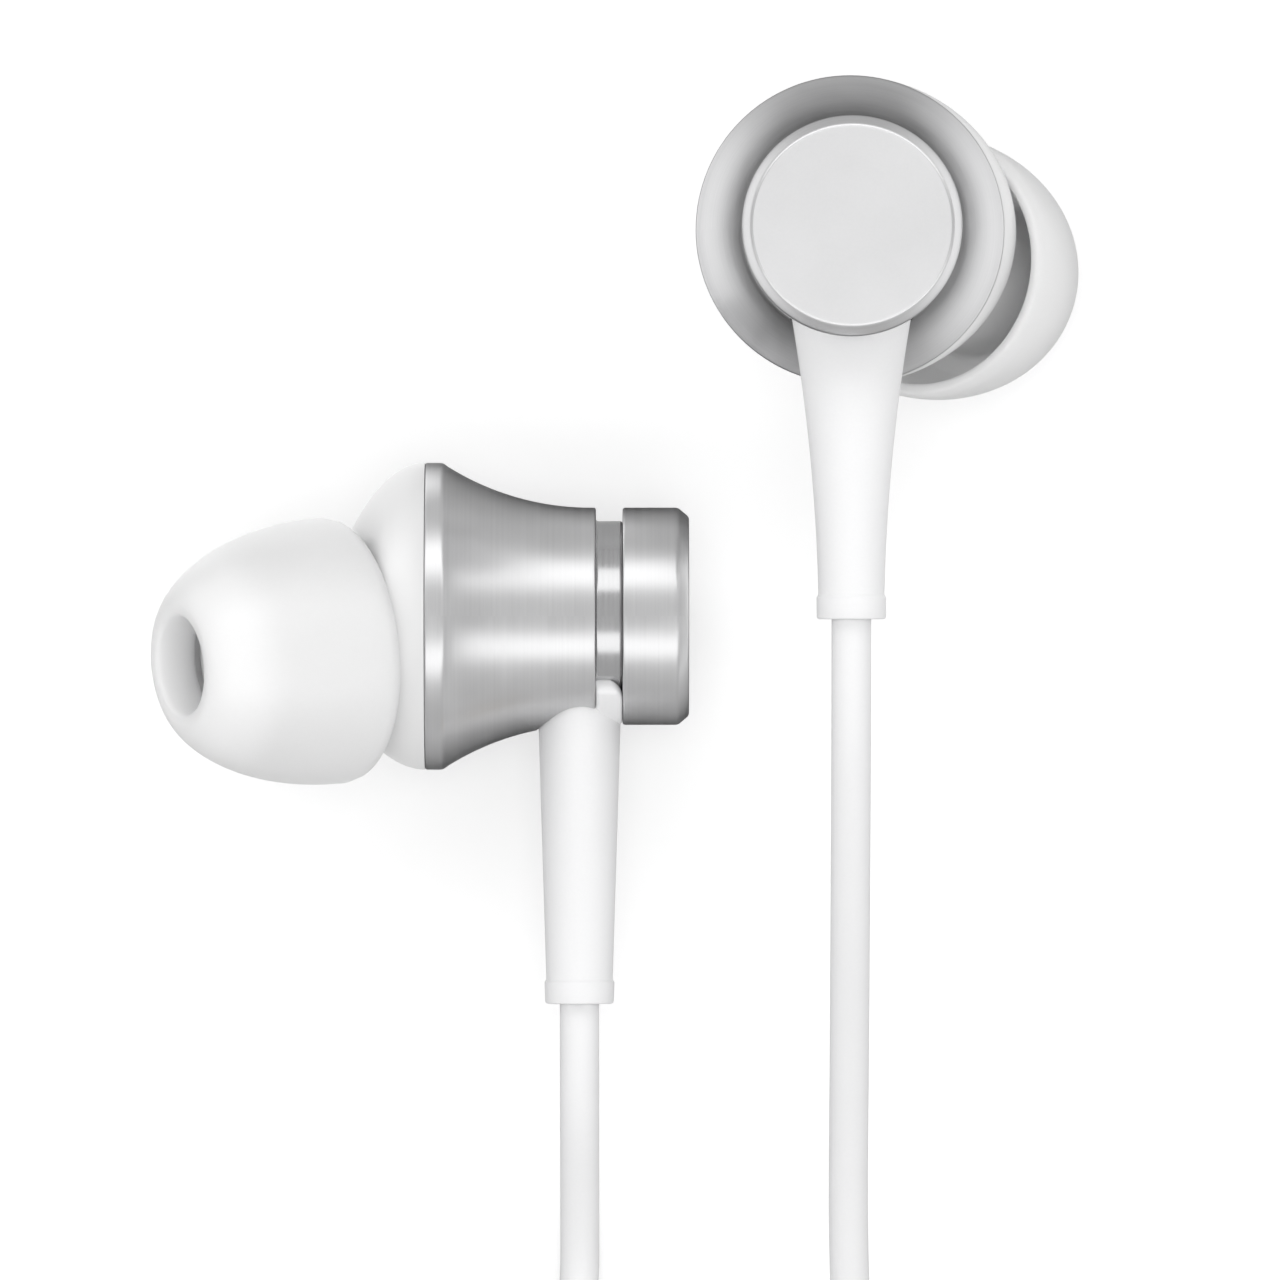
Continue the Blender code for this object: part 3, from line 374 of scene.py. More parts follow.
def lofted(name: str, rings: list[Ring], closed: bool = False) -> bpy.types.Object:
    """Joins rings of points into a closed solid.

    Args:
        name: the piece's name.
        rings: rings with the same number of points; a ring of one point is a pole.
        closed: whether the last ring joins the first; otherwise an open end gets a flat cap.

    Returns:
        The piece, with a UV map of turns across and millimetres along.
    """
    count = max(len(ring) for ring in rings)
    bm = bmesh.new()
    uv = bm.loops.layers.uv.new("surface")
    rows = [[bm.verts.new(p) for p in ring] for ring in rings]
    along = [0.0]
    for near, far in zip(rings, rings[1:] + rings[:1]):
        along.append(along[-1] + (far[0] - near[0]).length / MM)
    spans = len(rows) if closed else len(rows) - 1
    for k in range(spans):
        near, far = rows[k], rows[(k + 1) % len(rows)]
        for i in range(count):
            corners = [(near, i, k), (near, i + 1, k), (far, i + 1, k + 1), (far, i, k + 1)]
            verts, places = [], []
            for row, step, level in corners:
                vert = row[step % len(row)]
                if vert not in verts:
                    verts.append(vert)
                    places.append((step / count, along[level]))
            if len(verts) > 2:
                face = bm.faces.new(verts)
                for loop, spot in zip(face.loops, places):
                    loop[uv].uv = spot
    if not closed:
        for row in (rows[0], rows[-1]):
            if len(row) > 2:
                bm.faces.new(row)
    bmesh.ops.recalc_face_normals(bm, faces=bm.faces)
    mesh = bpy.data.meshes.new(name)
    bm.to_mesh(mesh)
    bm.free()
    piece = bpy.data.objects.new(name, mesh)
    bpy.context.scene.collection.objects.link(piece)
    mark_edges(piece)
    return piece


def turned(name: str, profile: Profile, place: Matrix, closed: bool = False,
           facets: int = FACETS) -> bpy.types.Object:
    """Turns a profile about the Z axis of a place.

    Args:
        name: the piece's name.
        profile: (radius, height) points; a point on the axis is a pole.
        place: the axis to turn about.
        closed: whether the last point joins the first.
        facets: flats round the piece.

    Returns:
        The piece.
    """
    rings = []
    for radius, height in profile:
        level = place @ Matrix.Translation((0, 0, height))
        rings.append(circle(radius, level, facets) if radius > ON_AXIS else [level.to_translation()])
    return lofted(name, rings, closed)


def plain_mesh(piece: bpy.types.Object) -> None:
    """Makes what a piece's modifiers give its plain mesh, and removes them.

    Args:
        piece: the piece to change.
    """
    graph = bpy.context.evaluated_depsgraph_get()
    made = bpy.data.meshes.new_from_object(piece.evaluated_get(graph))
    made.name = piece.name
    piece.modifiers.clear()
    piece.data = made


def combine(piece: bpy.types.Object, tool: bpy.types.Object, how: Combine) -> None:
    """Cuts a tool from a piece or joins it on, and removes the tool.

    Args:
        piece: the solid to change.
        tool: the solid to change it with.
        how: cut or join.
    """
    step = piece.modifiers.new(tool.name, "BOOLEAN")
    step.operation = how.value
    step.solver = "EXACT"
    step.object = tool
    plain_mesh(piece)
    bpy.data.objects.remove(tool, do_unlink=True)
    bm = bmesh.new()
    bm.from_mesh(piece.data)
    bmesh.ops.dissolve_degenerate(bm, edges=bm.edges, dist=WELD)
    bmesh.ops.triangulate(bm, faces=bm.faces, quad_method="BEAUTY", ngon_method="BEAUTY")
    bm.to_mesh(piece.data)
    bm.free()
    mark_edges(piece)


def dress(piece: bpy.types.Object, finish: Finish, body: str, *nodes: str) -> bpy.types.Object:
    """Finishes a piece, sets it on its body and hides the nodes it stands for.

    Args:
        piece: the finished shape.
        finish: its finish.
        body: the body it moves with.
        nodes: the nodes it replaces.

    Returns:
        The piece.
    """
    if not piece.data.materials:
        piece.data.materials.append(finish.material())
    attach(piece, body)
    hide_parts(*nodes)
    LOG.info("%s on %s, %s", piece.name, body, finish.slot)
    return piece


class NodeTree:
    """A geometry node tree with named sizes, which ends in a plain mesh."""

    def __init__(self, name: str, sizes: dict[str, float]) -> None:
        """Starts a tree with a socket for each size and one for the finish.

        Args:
            name: the tree's name.
            sizes: the sizes by name.
        """
        self.tree = bpy.data.node_groups.new(name, "GeometryNodeTree")
        self.sizes = sizes
        face = self.tree.interface
        face.new_socket("Geometry", in_out="OUTPUT", socket_type="NodeSocketGeometry")
        for size, value in sizes.items():
            kind = "NodeSocketInt" if isinstance(value, int) else "NodeSocketFloat"
            face.new_socket(size, in_out="INPUT", socket_type=kind)
        face.new_socket("Finish", in_out="INPUT", socket_type="NodeSocketMaterial")
        self.given = self.tree.nodes.new("NodeGroupInput").outputs

    def node(self, kind: str, links: dict[object, object], **settings: object) -> bpy.types.NodeOutputs:
        """Adds a node and gives its outputs."""
        return add_node(self.tree, kind, links, **settings).outputs

    def math(self, operation: str, first: object, second: object = 0.0) -> bpy.types.NodeSocket:
        """Adds a Math node and gives its value."""
        return self.node("ShaderNodeMath", {0: first, 1: second}, operation=operation)[0]

    def piece(self, name: str, parts: list[bpy.types.NodeSocket], finish: Finish,
              place: Matrix) -> bpy.types.Object:
        """Closes the tree and makes a plain mesh of it.

        Args:
            name: the piece's name.
            parts: the geometry to join.
            finish: the finish of the whole piece.
            place: where the piece goes.

        Returns:
            The piece.
        """
        joined = self.tree.nodes.new("GeometryNodeJoinGeometry")
        for part in parts:
            self.tree.links.new(part, joined.inputs[0])
        real = self.node("GeometryNodeRealizeInstances", {0: joined.outputs[0]})
        shown = self.node("GeometryNodeSetMaterial", {0: real[0], "Material": self.given["Finish"]})
        self.tree.links.new(shown[0], self.tree.nodes.new("NodeGroupOutput").inputs[0])
        piece = bpy.data.objects.new(name, bpy.data.meshes.new(name))
        step = piece.modifiers.new(name, "NODES")
        step.node_group = self.tree
        values = dict(self.sizes, Finish=finish.material())
        for item in self.tree.interface.items_tree:
            if item.in_out == "INPUT":
                step[item.identifier] = values[item.name]
        bpy.context.scene.collection.objects.link(piece)
        plain_mesh(piece)
        piece.data.transform(place)
        mark_edges(piece)
        return piece


# Earphones


def smoothstep(t: float) -> float:
    """Eases from 0 to 1."""
    t = min(max(t, 0.0), 1.0)
    return t * t * (3 - 2 * t)


def quarter_round(t: float) -> float:
    """Rises from nearly 0 to 1 as a quarter circle does."""
    t = min(max(t, 0.01), 1.0)
    return math.sqrt(t * (2 - t))


@dataclass
class Nozzle:
    """Sound outlet: the woven mesh on its end and the ear tip over it.

    Heights are measured forward from the rim of the ear tip's skirt.
    """

    side: Side
    end: float = 5.8 * MM
    lip_r: float = 2.5 * MM
    mesh_r: float = 1.9 * MM
    mesh_t: float = 0.2 * MM
    mesh_inset: float = 0.15 * MM
    wires: int = 25
    wire_r: float = 0.035 * MM
    wire_facets: int = 6
    rim_facets: int = 48
    weave_reach: float = 0.97
    layer_lift: float = 1.6
    tip_length: float = 8.06 * MM
    tip_r: float = 5.93 * MM
    rim_r: float = 5.7 * MM
    widest: float = 0.56 * MM
    tip_lip_r: float = 2.69 * MM
    mouth_r: float = 2.2 * MM
    wall: float = 0.6 * MM
    core_start: float = 0.4 * MM
    core_wall: float = 0.7 * MM
    shoulder: float = 6.1 * MM
    tip_full: float = 2.09
    tip_blunt: float = 0.647
    tip_steps: int = 40
    skirt_from: int = 24
    crown_share: float = 0.21
    soft_edge: float = 0.3 * MM

    def place(self) -> Matrix:
        """Finds the nozzle's frame from the joint that the ear tip comes off along.

        Returns:
            The frame: origin at the tip's rim, Z out along the nozzle, Y up the picture.
        """
        joint = next(j for j in frame["joints"] if j["name"] == self.side.value + "_tip_pull")
        out = Vector(joint["axis"]).normalized()
        up = (Vector((0, 1, 0)) - out * out.y).normalized()
        turn = Matrix((up.cross(out), up, out)).transposed().to_4x4()
        return Matrix.Translation(joint["pos_m"]) @ turn

    def tip_profile(self) -> Profile:
        """Whole ear tip: dome, skirt, core tube, seat for the nozzle and mouth.

        Returns:
            Its closed profile.
        """
        span = self.tip_length - self.widest
        outer: Profile = []
        for i in range(self.tip_steps + 1):
            t = (i / self.tip_steps) ** 2
            swell = (1 - (1 - t) ** self.tip_full) ** self.tip_blunt
            outer.append((self.tip_lip_r + (self.tip_r - self.tip_lip_r) * swell, self.tip_length - t * span))
        skirt = [(r - self.wall, z - self.wall * 0.25) for r, z in outer[self.skirt_from:]]
        core_in = self.lip_r + CLEAR
        core_out = core_in + self.core_wall
        crown = self.tip_length - self.crown_share * span - self.wall * 1.4
        rim = [(self.rim_r + SEAM, EDGE), (self.rim_r, 0.0), (self.rim_r - self.wall * 0.6, 0.0)]
        inside = rim + skirt[::-1]
        inside += [(core_out + CLEAR, crown), (core_out, crown - CLEAR), (core_out, self.core_start)]
        inside += [(core_in, self.core_start), (core_in, self.shoulder), (self.mouth_r, self.shoulder)]
        return fillet(outer + inside + [(self.mouth_r, self.tip_length)], self.soft_edge, closed=True)

    def ear_tip(self) -> None:
        """Builds and dresses the ear tip."""
        name = self.side.value + "_eartip"
        piece = turned(name + "_fine", self.tip_profile(), self.place(), closed=True)
        dress(piece, SILICONE, self.side.value + "_tip", name)

    def woven_mesh(self) -> None:
        """Builds and dresses the wire mesh: two crossed layers of wires in a pressed rim."""
        rim_r = self.mesh_t / 2
        reach = self.mesh_r - rim_r
        sizes = {"Reach": reach, "Wires": self.wires, "Wire radius": self.wire_r, "Rim": rim_r}
        weave = NodeTree(self.side.value + "_weave", sizes)
        start, end = (
            weave.node("ShaderNodeCombineXYZ", {"X": weave.math("MULTIPLY", weave.given["Reach"], share)})
            for share in (-self.weave_reach, self.weave_reach))
        row = weave.node("GeometryNodeMeshLine", {"Count": weave.given["Wires"], "Start Location": start[0],
                                                  "Offset": end[0]}, mode="END_POINTS")
        spot = weave.node("ShaderNodeSeparateXYZ", {0: weave.node("GeometryNodeInputPosition", {})[0]})
        whole = weave.math("MULTIPLY", weave.given["Reach"], weave.given["Reach"])
        half = weave.math("SQRT", weave.math("SUBTRACT", whole, weave.math("MULTIPLY", spot["X"], spot["X"])))
        stretch = weave.node("ShaderNodeCombineXYZ", {"X": 1.0, "Y": half, "Z": 1.0})
        thread = weave.node("GeometryNodeCurvePrimitiveLine", {"Start": (0, -1, 0), "End": (0, 1, 0)})
        section = weave.node("GeometryNodeCurvePrimitiveCircle",
                             {"Resolution": self.wire_facets, "Radius": weave.given["Wire radius"]})
        wire = weave.node("GeometryNodeCurveToMesh",
                          {"Curve": thread[0], "Profile Curve": section[0], "Fill Caps": True})
        layer = weave.node("GeometryNodeInstanceOnPoints",
                           {"Points": row[0], "Instance": wire[0], "Scale": stretch[0]})
        lift = weave.node("ShaderNodeCombineXYZ",
                          {"Z": weave.math("MULTIPLY", weave.given["Wire radius"], self.layer_lift)})
        crossed = weave.node("GeometryNodeTransform", {"Geometry": layer[0], "Translation": lift[0],
                                                       "Rotation": (0.0, 0.0, math.pi / 2)})
        hoop = weave.node("GeometryNodeCurvePrimitiveCircle",
                          {"Resolution": self.rim_facets, "Radius": weave.given["Reach"]})
        bead = weave.node("GeometryNodeCurvePrimitiveCircle",
                          {"Resolution": BEAD_FACETS, "Radius": weave.given["Rim"]})
        rim = weave.node("GeometryNodeCurveToMesh", {"Curve": hoop[0], "Profile Curve": bead[0]})
        name = self.side.value + "_nozzle_mesh"
        middle = self.end - self.mesh_inset - self.mesh_t / 2
        place = self.place() @ Matrix.Translation((0, 0, middle))
        piece = weave.piece(name + "_fine", [layer[0], crossed[0], rim[0]], STEEL, place)
        dress(piece, STEEL, "headset", name)


@dataclass
class Earphone:
    """One earphone: turned metal body and cap, white front housing, soft strain relief.

    Lengths along the axis are measured from the front plane of the flange.
    """

    side: Side
    flange_r: float = 6.85 * MM
    flange_w: float = 0.8 * MM
    flare_arc: float = 12.0 * MM
    flare_end: float = 7.4 * MM
    flare_steps: int = 24
    neck_r: float = 4.85 * MM
    groove_start: float = 7.63 * MM
    groove_r: float = 4.25 * MM
    cap_start: float = 8.82 * MM
    cap_end: float = 11.79 * MM
    cap_chamfer: float = 0.42 * MM
    cap_chamfer_l: float = 0.5 * MM
    spigot_r: float = 3.9 * MM
    spigot_end: float = 10.6 * MM
    bore_r: float = 3.4 * MM
    seat_r: float = 5.7 * MM
    seat_depth: float = 1.65 * MM
    pocket_r: float = 4.6 * MM
    pocket_depth: float = 4.2 * MM
    round_edge: float = 0.13 * MM
    dome_core_r: float = 2.9 * MM
    dome_depth: float = 2.75 * MM
    dome_turn: float = 3.0
    dome_deg: int = 3
    chamber_deg: int = 5
    housing_wall: float = 0.85 * MM
    housing_spigot: float = 0.9 * MM
    chamber_r: float = 5.1 * MM
    nozzle_r: float = 2.3 * MM
    nozzle_lip_w: float = 0.8 * MM
    nozzle_bore_r: float = 1.6 * MM
    port_start: float = 2.4 * MM
    port_middle: float = 5.0 * MM
    port_end: float = 6.6 * MM
    relief_at: float = 6.9 * MM
    relief_end: float = 17.3 * MM
    relief_root: float = 3.6 * MM
    relief_end_r: float = 1.45 * MM
    relief_wide: float = 1.04 * MM
    relief_deep: float = 0.38 * MM
    relief_flare: float = 1.9
    relief_points: int = 56
    relief_steps: int = 40
    cuff: float = 1.1 * MM
    cuff_step: float = 0.15 * MM
    cuff_proud: float = 0.08 * MM
    cuff_rings: int = 6
    tongue_deg: float = 48.0
    tongue_round: float = 0.35 * MM
    tongue_shoulder: float = 0.9 * MM
    tongue_end: float = 0.5
    tongue_bars: int = 48
    socket_depth: float = 1.6 * MM
    nozzle: Nozzle = field(init=False)

    def __post_init__(self) -> None:
        """Adds the nozzle of this side."""
        self.nozzle = Nozzle(self.side)

    def place(self) -> Matrix:
        """Finds the body's frame from its node: Z forward to the ear, -Y along the strain relief.

        Returns:
            The frame, with its origin at the centre of the flange's front.
        """
        low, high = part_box(self.side.value + "_body_shell")
        middle = (low + high) / 2
        if self.side is Side.LEFT:
            turn = Matrix(((0, 0, -1), (0, 1, 0), (1, 0, 0)))
            front = Vector((low.x, middle.y, middle.z))
        else:
            turn = Matrix(((-1, 0, 0), (0, 1, 0), (0, 0, -1)))
            front = Vector((middle.x, middle.y, low.z))
        return Matrix.Translation(front) @ turn.to_4x4()

    def cord_exit(self) -> Vector:
        """Where the lead comes out of the strain relief."""
        return self.place() @ Vector((0, -self.relief_end, -self.relief_at))

    def flare_radius(self, back: float) -> float:
        """Radius of the body's concave flare at a distance behind the flange."""
        return self.neck_r + self.flare_arc - math.sqrt(self.flare_arc ** 2 - (self.flare_end - back) ** 2)

    def body_shell(self) -> None:
        """Builds and dresses the turned shell, with the port for the strain relief and painted shade in its
        groove.
        """
        outer = [(self.flange_r, 0.0), (self.flange_r, -self.flange_w)]
        for i in range(1, self.flare_steps + 1):
            back = self.flange_w + (self.flare_end - self.flange_w) * i / self.flare_steps
            outer.append((min(self.flare_radius(back), self.flange_r), -back))
        outer += [(self.neck_r, -self.groove_start), (self.groove_r, -self.groove_start)]
        outer += [(self.groove_r, -self.cap_start), (self.spigot_r, -self.cap_start)]
        inner = [(self.spigot_r, -self.spigot_end), (self.bore_r, -self.spigot_end)]
        inner += [(self.bore_r, -self.pocket_depth), (self.pocket_r, -self.pocket_depth)]
        inner += [(self.pocket_r, -self.seat_depth), (self.seat_r, -self.seat_depth), (self.seat_r, 0.0)]
        name = self.side.value + "_body_shell"
        profile = fillet(outer + inner, self.round_edge, closed=True)
        piece = turned(name + "_fine", profile, self.place(), closed=True)
        stations = (self.port_start, self.relief_root, self.port_middle, self.port_end)
        combine(piece, lofted("port", [self.relief_ring(down, SEAM) for down in stations]), Combine.CUT)
        piece.data.materials.append(ALUMINIUM.material())
        piece.data.materials.append(GROOVE_PAINTED_SHADE.material("groove"))
        # Faces in the neck's groove get the darker groove metal, which is painted shade.
        home = self.place().inverted()
        for face in piece.data.polygons:
            spot = home @ face.center
            in_shaded_groove = self.groove_start < -spot.z < self.cap_start and spot.xy.length > self.spigot_r
            face.material_index = int(in_shaded_groove)
        dress(piece, ALUMINIUM, "headset", name)

    def rear_cap(self) -> None:
        """Builds and dresses the cap, whose flat back has a finer, paler finish."""
        front = -self.cap_start
        floor = -self.spigot_end - SEAM
        socket = self.spigot_r + SEAM
        rim = self.neck_r - self.cap_chamfer
        profile = [(0.0, floor), (socket, floor), (socket, front), (self.neck_r, front)]
        profile += [(self.neck_r, -self.cap_end + self.cap_chamfer_l), (rim, -self.cap_end)]
        profile += [(0.0, -self.cap_end)]
        name = self.side.value + "_rear_cap"
        piece = turned(name + "_fine", fillet(profile, self.round_edge), self.place())
        piece.data.materials.append(ALUMINIUM.material())
        piece.data.materials.append(CAP_FACE.material("cap_face"))
        back = self.place().to_3x3() @ Vector((0, 0, -1))
        for face in piece.data.polygons:
            face.material_index = int(face.normal.dot(back) > FACING)
        dress(piece, ALUMINIUM, "headset", name)

    def housing_rings(self, inner: bool) -> list[Ring]:
        """Rings of the front housing from the flange to the nozzle's root.

        They lean aside at once and turn late.

        Args:
            inner: whether they are the chamber's rings, from the nozzle back.

        Returns:
            The rings.
        """
        base = self.place()
        root = base.inverted() @ self.nozzle.place() @ Matrix.Translation((0, 0, -SEAM))
        degrees = range(80, 44, -self.chamber_deg) if inner else range(0, 91, self.dome_deg)
        rings = []
        for degree in degrees:
            theta = math.radians(degree)
            lean = degree / 90
            turned_by = lean ** self.dome_turn
            end = root.to_translation()
            depth = self.dome_depth * math.sin(theta)
            centre = Vector((end.x * lean, end.y * turned_by, depth + (end.z - depth) * turned_by))
            turn = Matrix.Identity(3).to_quaternion().slerp(root.to_quaternion(), turned_by)
            spot = Matrix.Translation(centre) @ turn.to_matrix().to_4x4()
            radius = self.dome_core_r + (self.flange_r - self.dome_core_r) * math.cos(theta)
            if inner:
                spot = spot @ Matrix.Translation((0, 0, -self.housing_wall))
                radius -= self.housing_wall
            rings.append(circle(radius, base @ spot))
        return rings

    def front_housing(self) -> None:
        """Builds and dresses the white housing: spigot, dome, canted nozzle with a lip, bore and chamber."""
        base, tip = self.place(), self.nozzle.place()

        def on_nozzle(profile: Profile) -> list[Ring]:
            """Rings of a profile on the nozzle's axis."""
            return [circle(r, tip @ Matrix.Translation((0, 0, z))) for r, z in profile]

        def on_body(profile: Profile) -> list[Ring]:
            """Rings of a profile on the body's axis."""
            return [circle(r, base @ Matrix.Translation((0, 0, z))) for r, z in profile]

        end, lip = self.nozzle.end, self.nozzle.lip_r
        seat = self.nozzle.mesh_r + SEAM
        floor = end - self.nozzle.mesh_inset - self.nozzle.mesh_t - SEAM
        step = end - self.nozzle_lip_w
        neck = [(self.nozzle_r, 0.0), (self.nozzle_r, step), (lip, step)]
        neck += [(lip, end), (seat, end), (seat, floor), (self.nozzle_bore_r, floor)]
        neck += [(self.nozzle_bore_r, -self.housing_wall)]
        spigot_r = self.seat_r - SEAM
        rings = on_body([(spigot_r, -self.housing_spigot), (spigot_r, 0.0)])
        rings += self.housing_rings(inner=False) + on_nozzle(fillet(neck, self.round_edge))
        rings += self.housing_rings(inner=True)
        rings += on_body([(self.chamber_r, CLEAR), (self.chamber_r, -self.housing_spigot)])
        name = self.side.value + "_front_housing"
        dress(lofted(name + "_fine", rings, closed=True), WHITE_PLASTIC, "headset", name)

    def relief_ring(self, down: float, grow: float = 0.0) -> Ring:
        """Oval section of the strain relief at a distance below the body's axis.

        Args:
            down: the distance.
            grow: how much wider than the relief it is.

        Returns:
            The section's points.
        """
        u = (self.relief_end - down) / (self.relief_end - self.neck_r)
        wide = self.relief_end_r + self.relief_wide * max(u, 0.0) ** self.relief_flare + grow
        deep = self.relief_end_r + self.relief_deep * u + grow
        angles = [2 * math.pi * i / self.relief_points for i in range(self.relief_points)]
        place = self.place()
        return [place @ Vector((wide * math.cos(a), -down, deep * math.sin(a) - self.relief_at))
                for a in angles]

    def tongue(self) -> bpy.types.Object:
        """Builds the relief's tongue, which lies in the neck's groove with rounded ends.

        Returns:
            The tongue's solid.
        """
        place = self.place()
        low, high = -self.groove_start, -self.cap_start
        section = [(self.groove_r, low), (self.neck_r, low), (self.neck_r, high), (self.groove_r, high)]
        section = fillet(section, self.round_edge * 2, closed=True)
        bars = []
        for i in range(self.tongue_bars + 1):
            reach = math.sin(math.pi * (i / self.tongue_bars - 0.5))
            angle = math.radians(self.tongue_deg) * reach
            to_end = math.radians(self.tongue_deg) * self.neck_r * (1 - abs(reach))
            thick = quarter_round(to_end / self.tongue_round)
            wide = self.tongue_end + (1 - self.tongue_end) * quarter_round(to_end / self.tongue_shoulder)
            out = Vector((math.sin(angle), -math.cos(angle), 0.0))
            bar = [(self.groove_r + (r - self.groove_r) * thick, low + (z - low) * wide) for r, z in section]
            bars.append([place @ (out * r + Vector((0, 0, z))) for r, z in bar])
        return lofted("tongue", bars)

    def strain_relief(self) -> None:
        """Builds and dresses the tapered sleeve with its cuff, tongue and cord socket."""
        name = self.side.value + "_strain_relief"
        end = self.relief_end
        line = end - self.cuff
        stretch = (line - self.relief_root) / self.relief_steps
        rings = [self.relief_ring(self.relief_root + stretch * i) for i in range(self.relief_steps + 1)]
        for i in range(1, self.cuff_rings + 1):
            share = i / self.cuff_rings
            rings.append(self.relief_ring(line + self.cuff_step * share, self.cuff_proud * smoothstep(share)))
        rings += [self.relief_ring(end - EDGE, self.cuff_proud)]
        rings += [self.relief_ring(end - EDGE * 0.3, self.cuff_proud - EDGE * 0.3)]
        rings += [self.relief_ring(end, self.cuff_proud - EDGE)]
        hole = Matrix.Rotation(-math.pi / 2, 4, "X")
        for down in (end, end - self.socket_depth):
            level = self.place() @ Matrix.Translation((0, -down, -self.relief_at)) @ hole
            rings.append(circle(CORD_R + SEAM, level, self.relief_points))
        piece = lofted(name + "_fine", rings)
        combine(piece, self.tongue(), Combine.JOIN)
        dress(piece, SOFT_WHITE, "headset", name)

    def build(self) -> None:
        """Builds the earphone from front to back."""
        self.nozzle.ear_tip()
        self.nozzle.woven_mesh()
        self.front_housing()
        self.body_shell()
        self.rear_cap()
        self.strain_relief()


# Cords


@dataclass
class Coil:
    """A cord wound clockwise seen from above, in and out, climbing a layer at each reversal."""

    centre: Vector
    inner_r: float
    rate: float
    first_in: float
    layer_turns: float
    start: float
    stop: float
    tie_turn: float
    table: float = CORD_R + 0.05 * MM
    climb_turns: float = 0.5
    climb_bulge: float = 1.2 * MM
    tie_lift: float = 0.8 * MM
    tie_lift_turns: float = 0.14
    points_per_turn: int = 36

    def wound(self, turn: float) -> tuple[float, float]:
        """Radius and height of the cord.

        Args:
            turn: how far round it is.

        Returns:
            The radius and the height.
        """
        outer_r = self.inner_r + self.rate * self.layer_turns
        past = turn - self.first_in
        if past < 0:
            return self.inner_r - self.rate * past, self.table
        cycle = self.layer_turns + self.climb_turns
        layer = int(past / cycle + TINY)
        within = past - layer * cycle
        at_inner = layer % 2 == 0
        if within < self.climb_turns:
            share = within / self.climb_turns
            bulge = self.climb_bulge * math.sin(math.pi * share)
            radius = self.inner_r - bulge if at_inner else outer_r + bulge
            return radius, self.table + (layer + smoothstep(share)) * PITCH
        spread = self.rate * (within - self.climb_turns)
        radius = self.inner_r + spread if at_inner else outer_r - spread
        return radius, self.table + (layer + 1) * PITCH

    def heading(self, turn: float) -> Vector:
        """Way that the cord runs at a place on its turn."""
        angle = 2 * math.pi * turn
        return Vector((-math.sin(angle), -math.cos(angle), 0.0))

    def points(self) -> list[Vector]:
        """Points along the coil, with a straight stretch of one diameter at each end.

        Returns:
            The points.
        """
        count = round((self.stop - self.start) * self.points_per_turn)
        made = []
        for i in range(count + 1):
            turn = self.start + (self.stop - self.start) * i / count
            radius, height = self.wound(turn)
            off = abs((turn - self.tie_turn + 0.5) % 1.0 - 0.5)
            height += self.tie_lift * (1 - smoothstep(off / self.tie_lift_turns))
            angle = 2 * math.pi * turn
            spot = Vector((radius * math.cos(angle), -radius * math.sin(angle), height))
            made.append(self.centre + spot)
        first, last = self.heading(self.start), self.heading(self.stop)
        return [made[0] - first * CORD_D] + made + [made[-1] + last * CORD_D]


def smooth_route(points: list[Vector], step: float) -> list[Vector]:
    """Reads points at an even step from a smooth curve through a route's points.

    Args:
        points: the route.
        step: the distance between the points read.

    Returns:
        The points read.
    """
    route = [2 * points[0] - points[1]] + points + [2 * points[-1] - points[-2]]
    fine = []
    for a, b, c, d in zip(route, route[1:], route[2:], route[3:]):
        for i in range(ROUTE_STEPS):
            t = i / ROUTE_STEPS
            fine.append(0.5 * (2 * b + (c - a) * t + (2 * a - 5 * b + 4 * c - d) * t ** 2
                               + (3 * b - a - 3 * c + d) * t ** 3))
    fine.append(points[-1])
    lengths = [0.0]
    for p, q in zip(fine, fine[1:]):
        lengths.append(lengths[-1] + (q - p).length)
    count = max(2, round(lengths[-1] / step))
    picked, k = [], 0
    for i in range(count + 1):
        goal = lengths[-1] * i / count
        while k < len(fine) - 2 and lengths[k + 1] < goal:
            k += 1
        share = (goal - lengths[k]) / (lengths[k + 1] - lengths[k])
        picked.append(fine[k].lerp(fine[k + 1], share))
    return picked


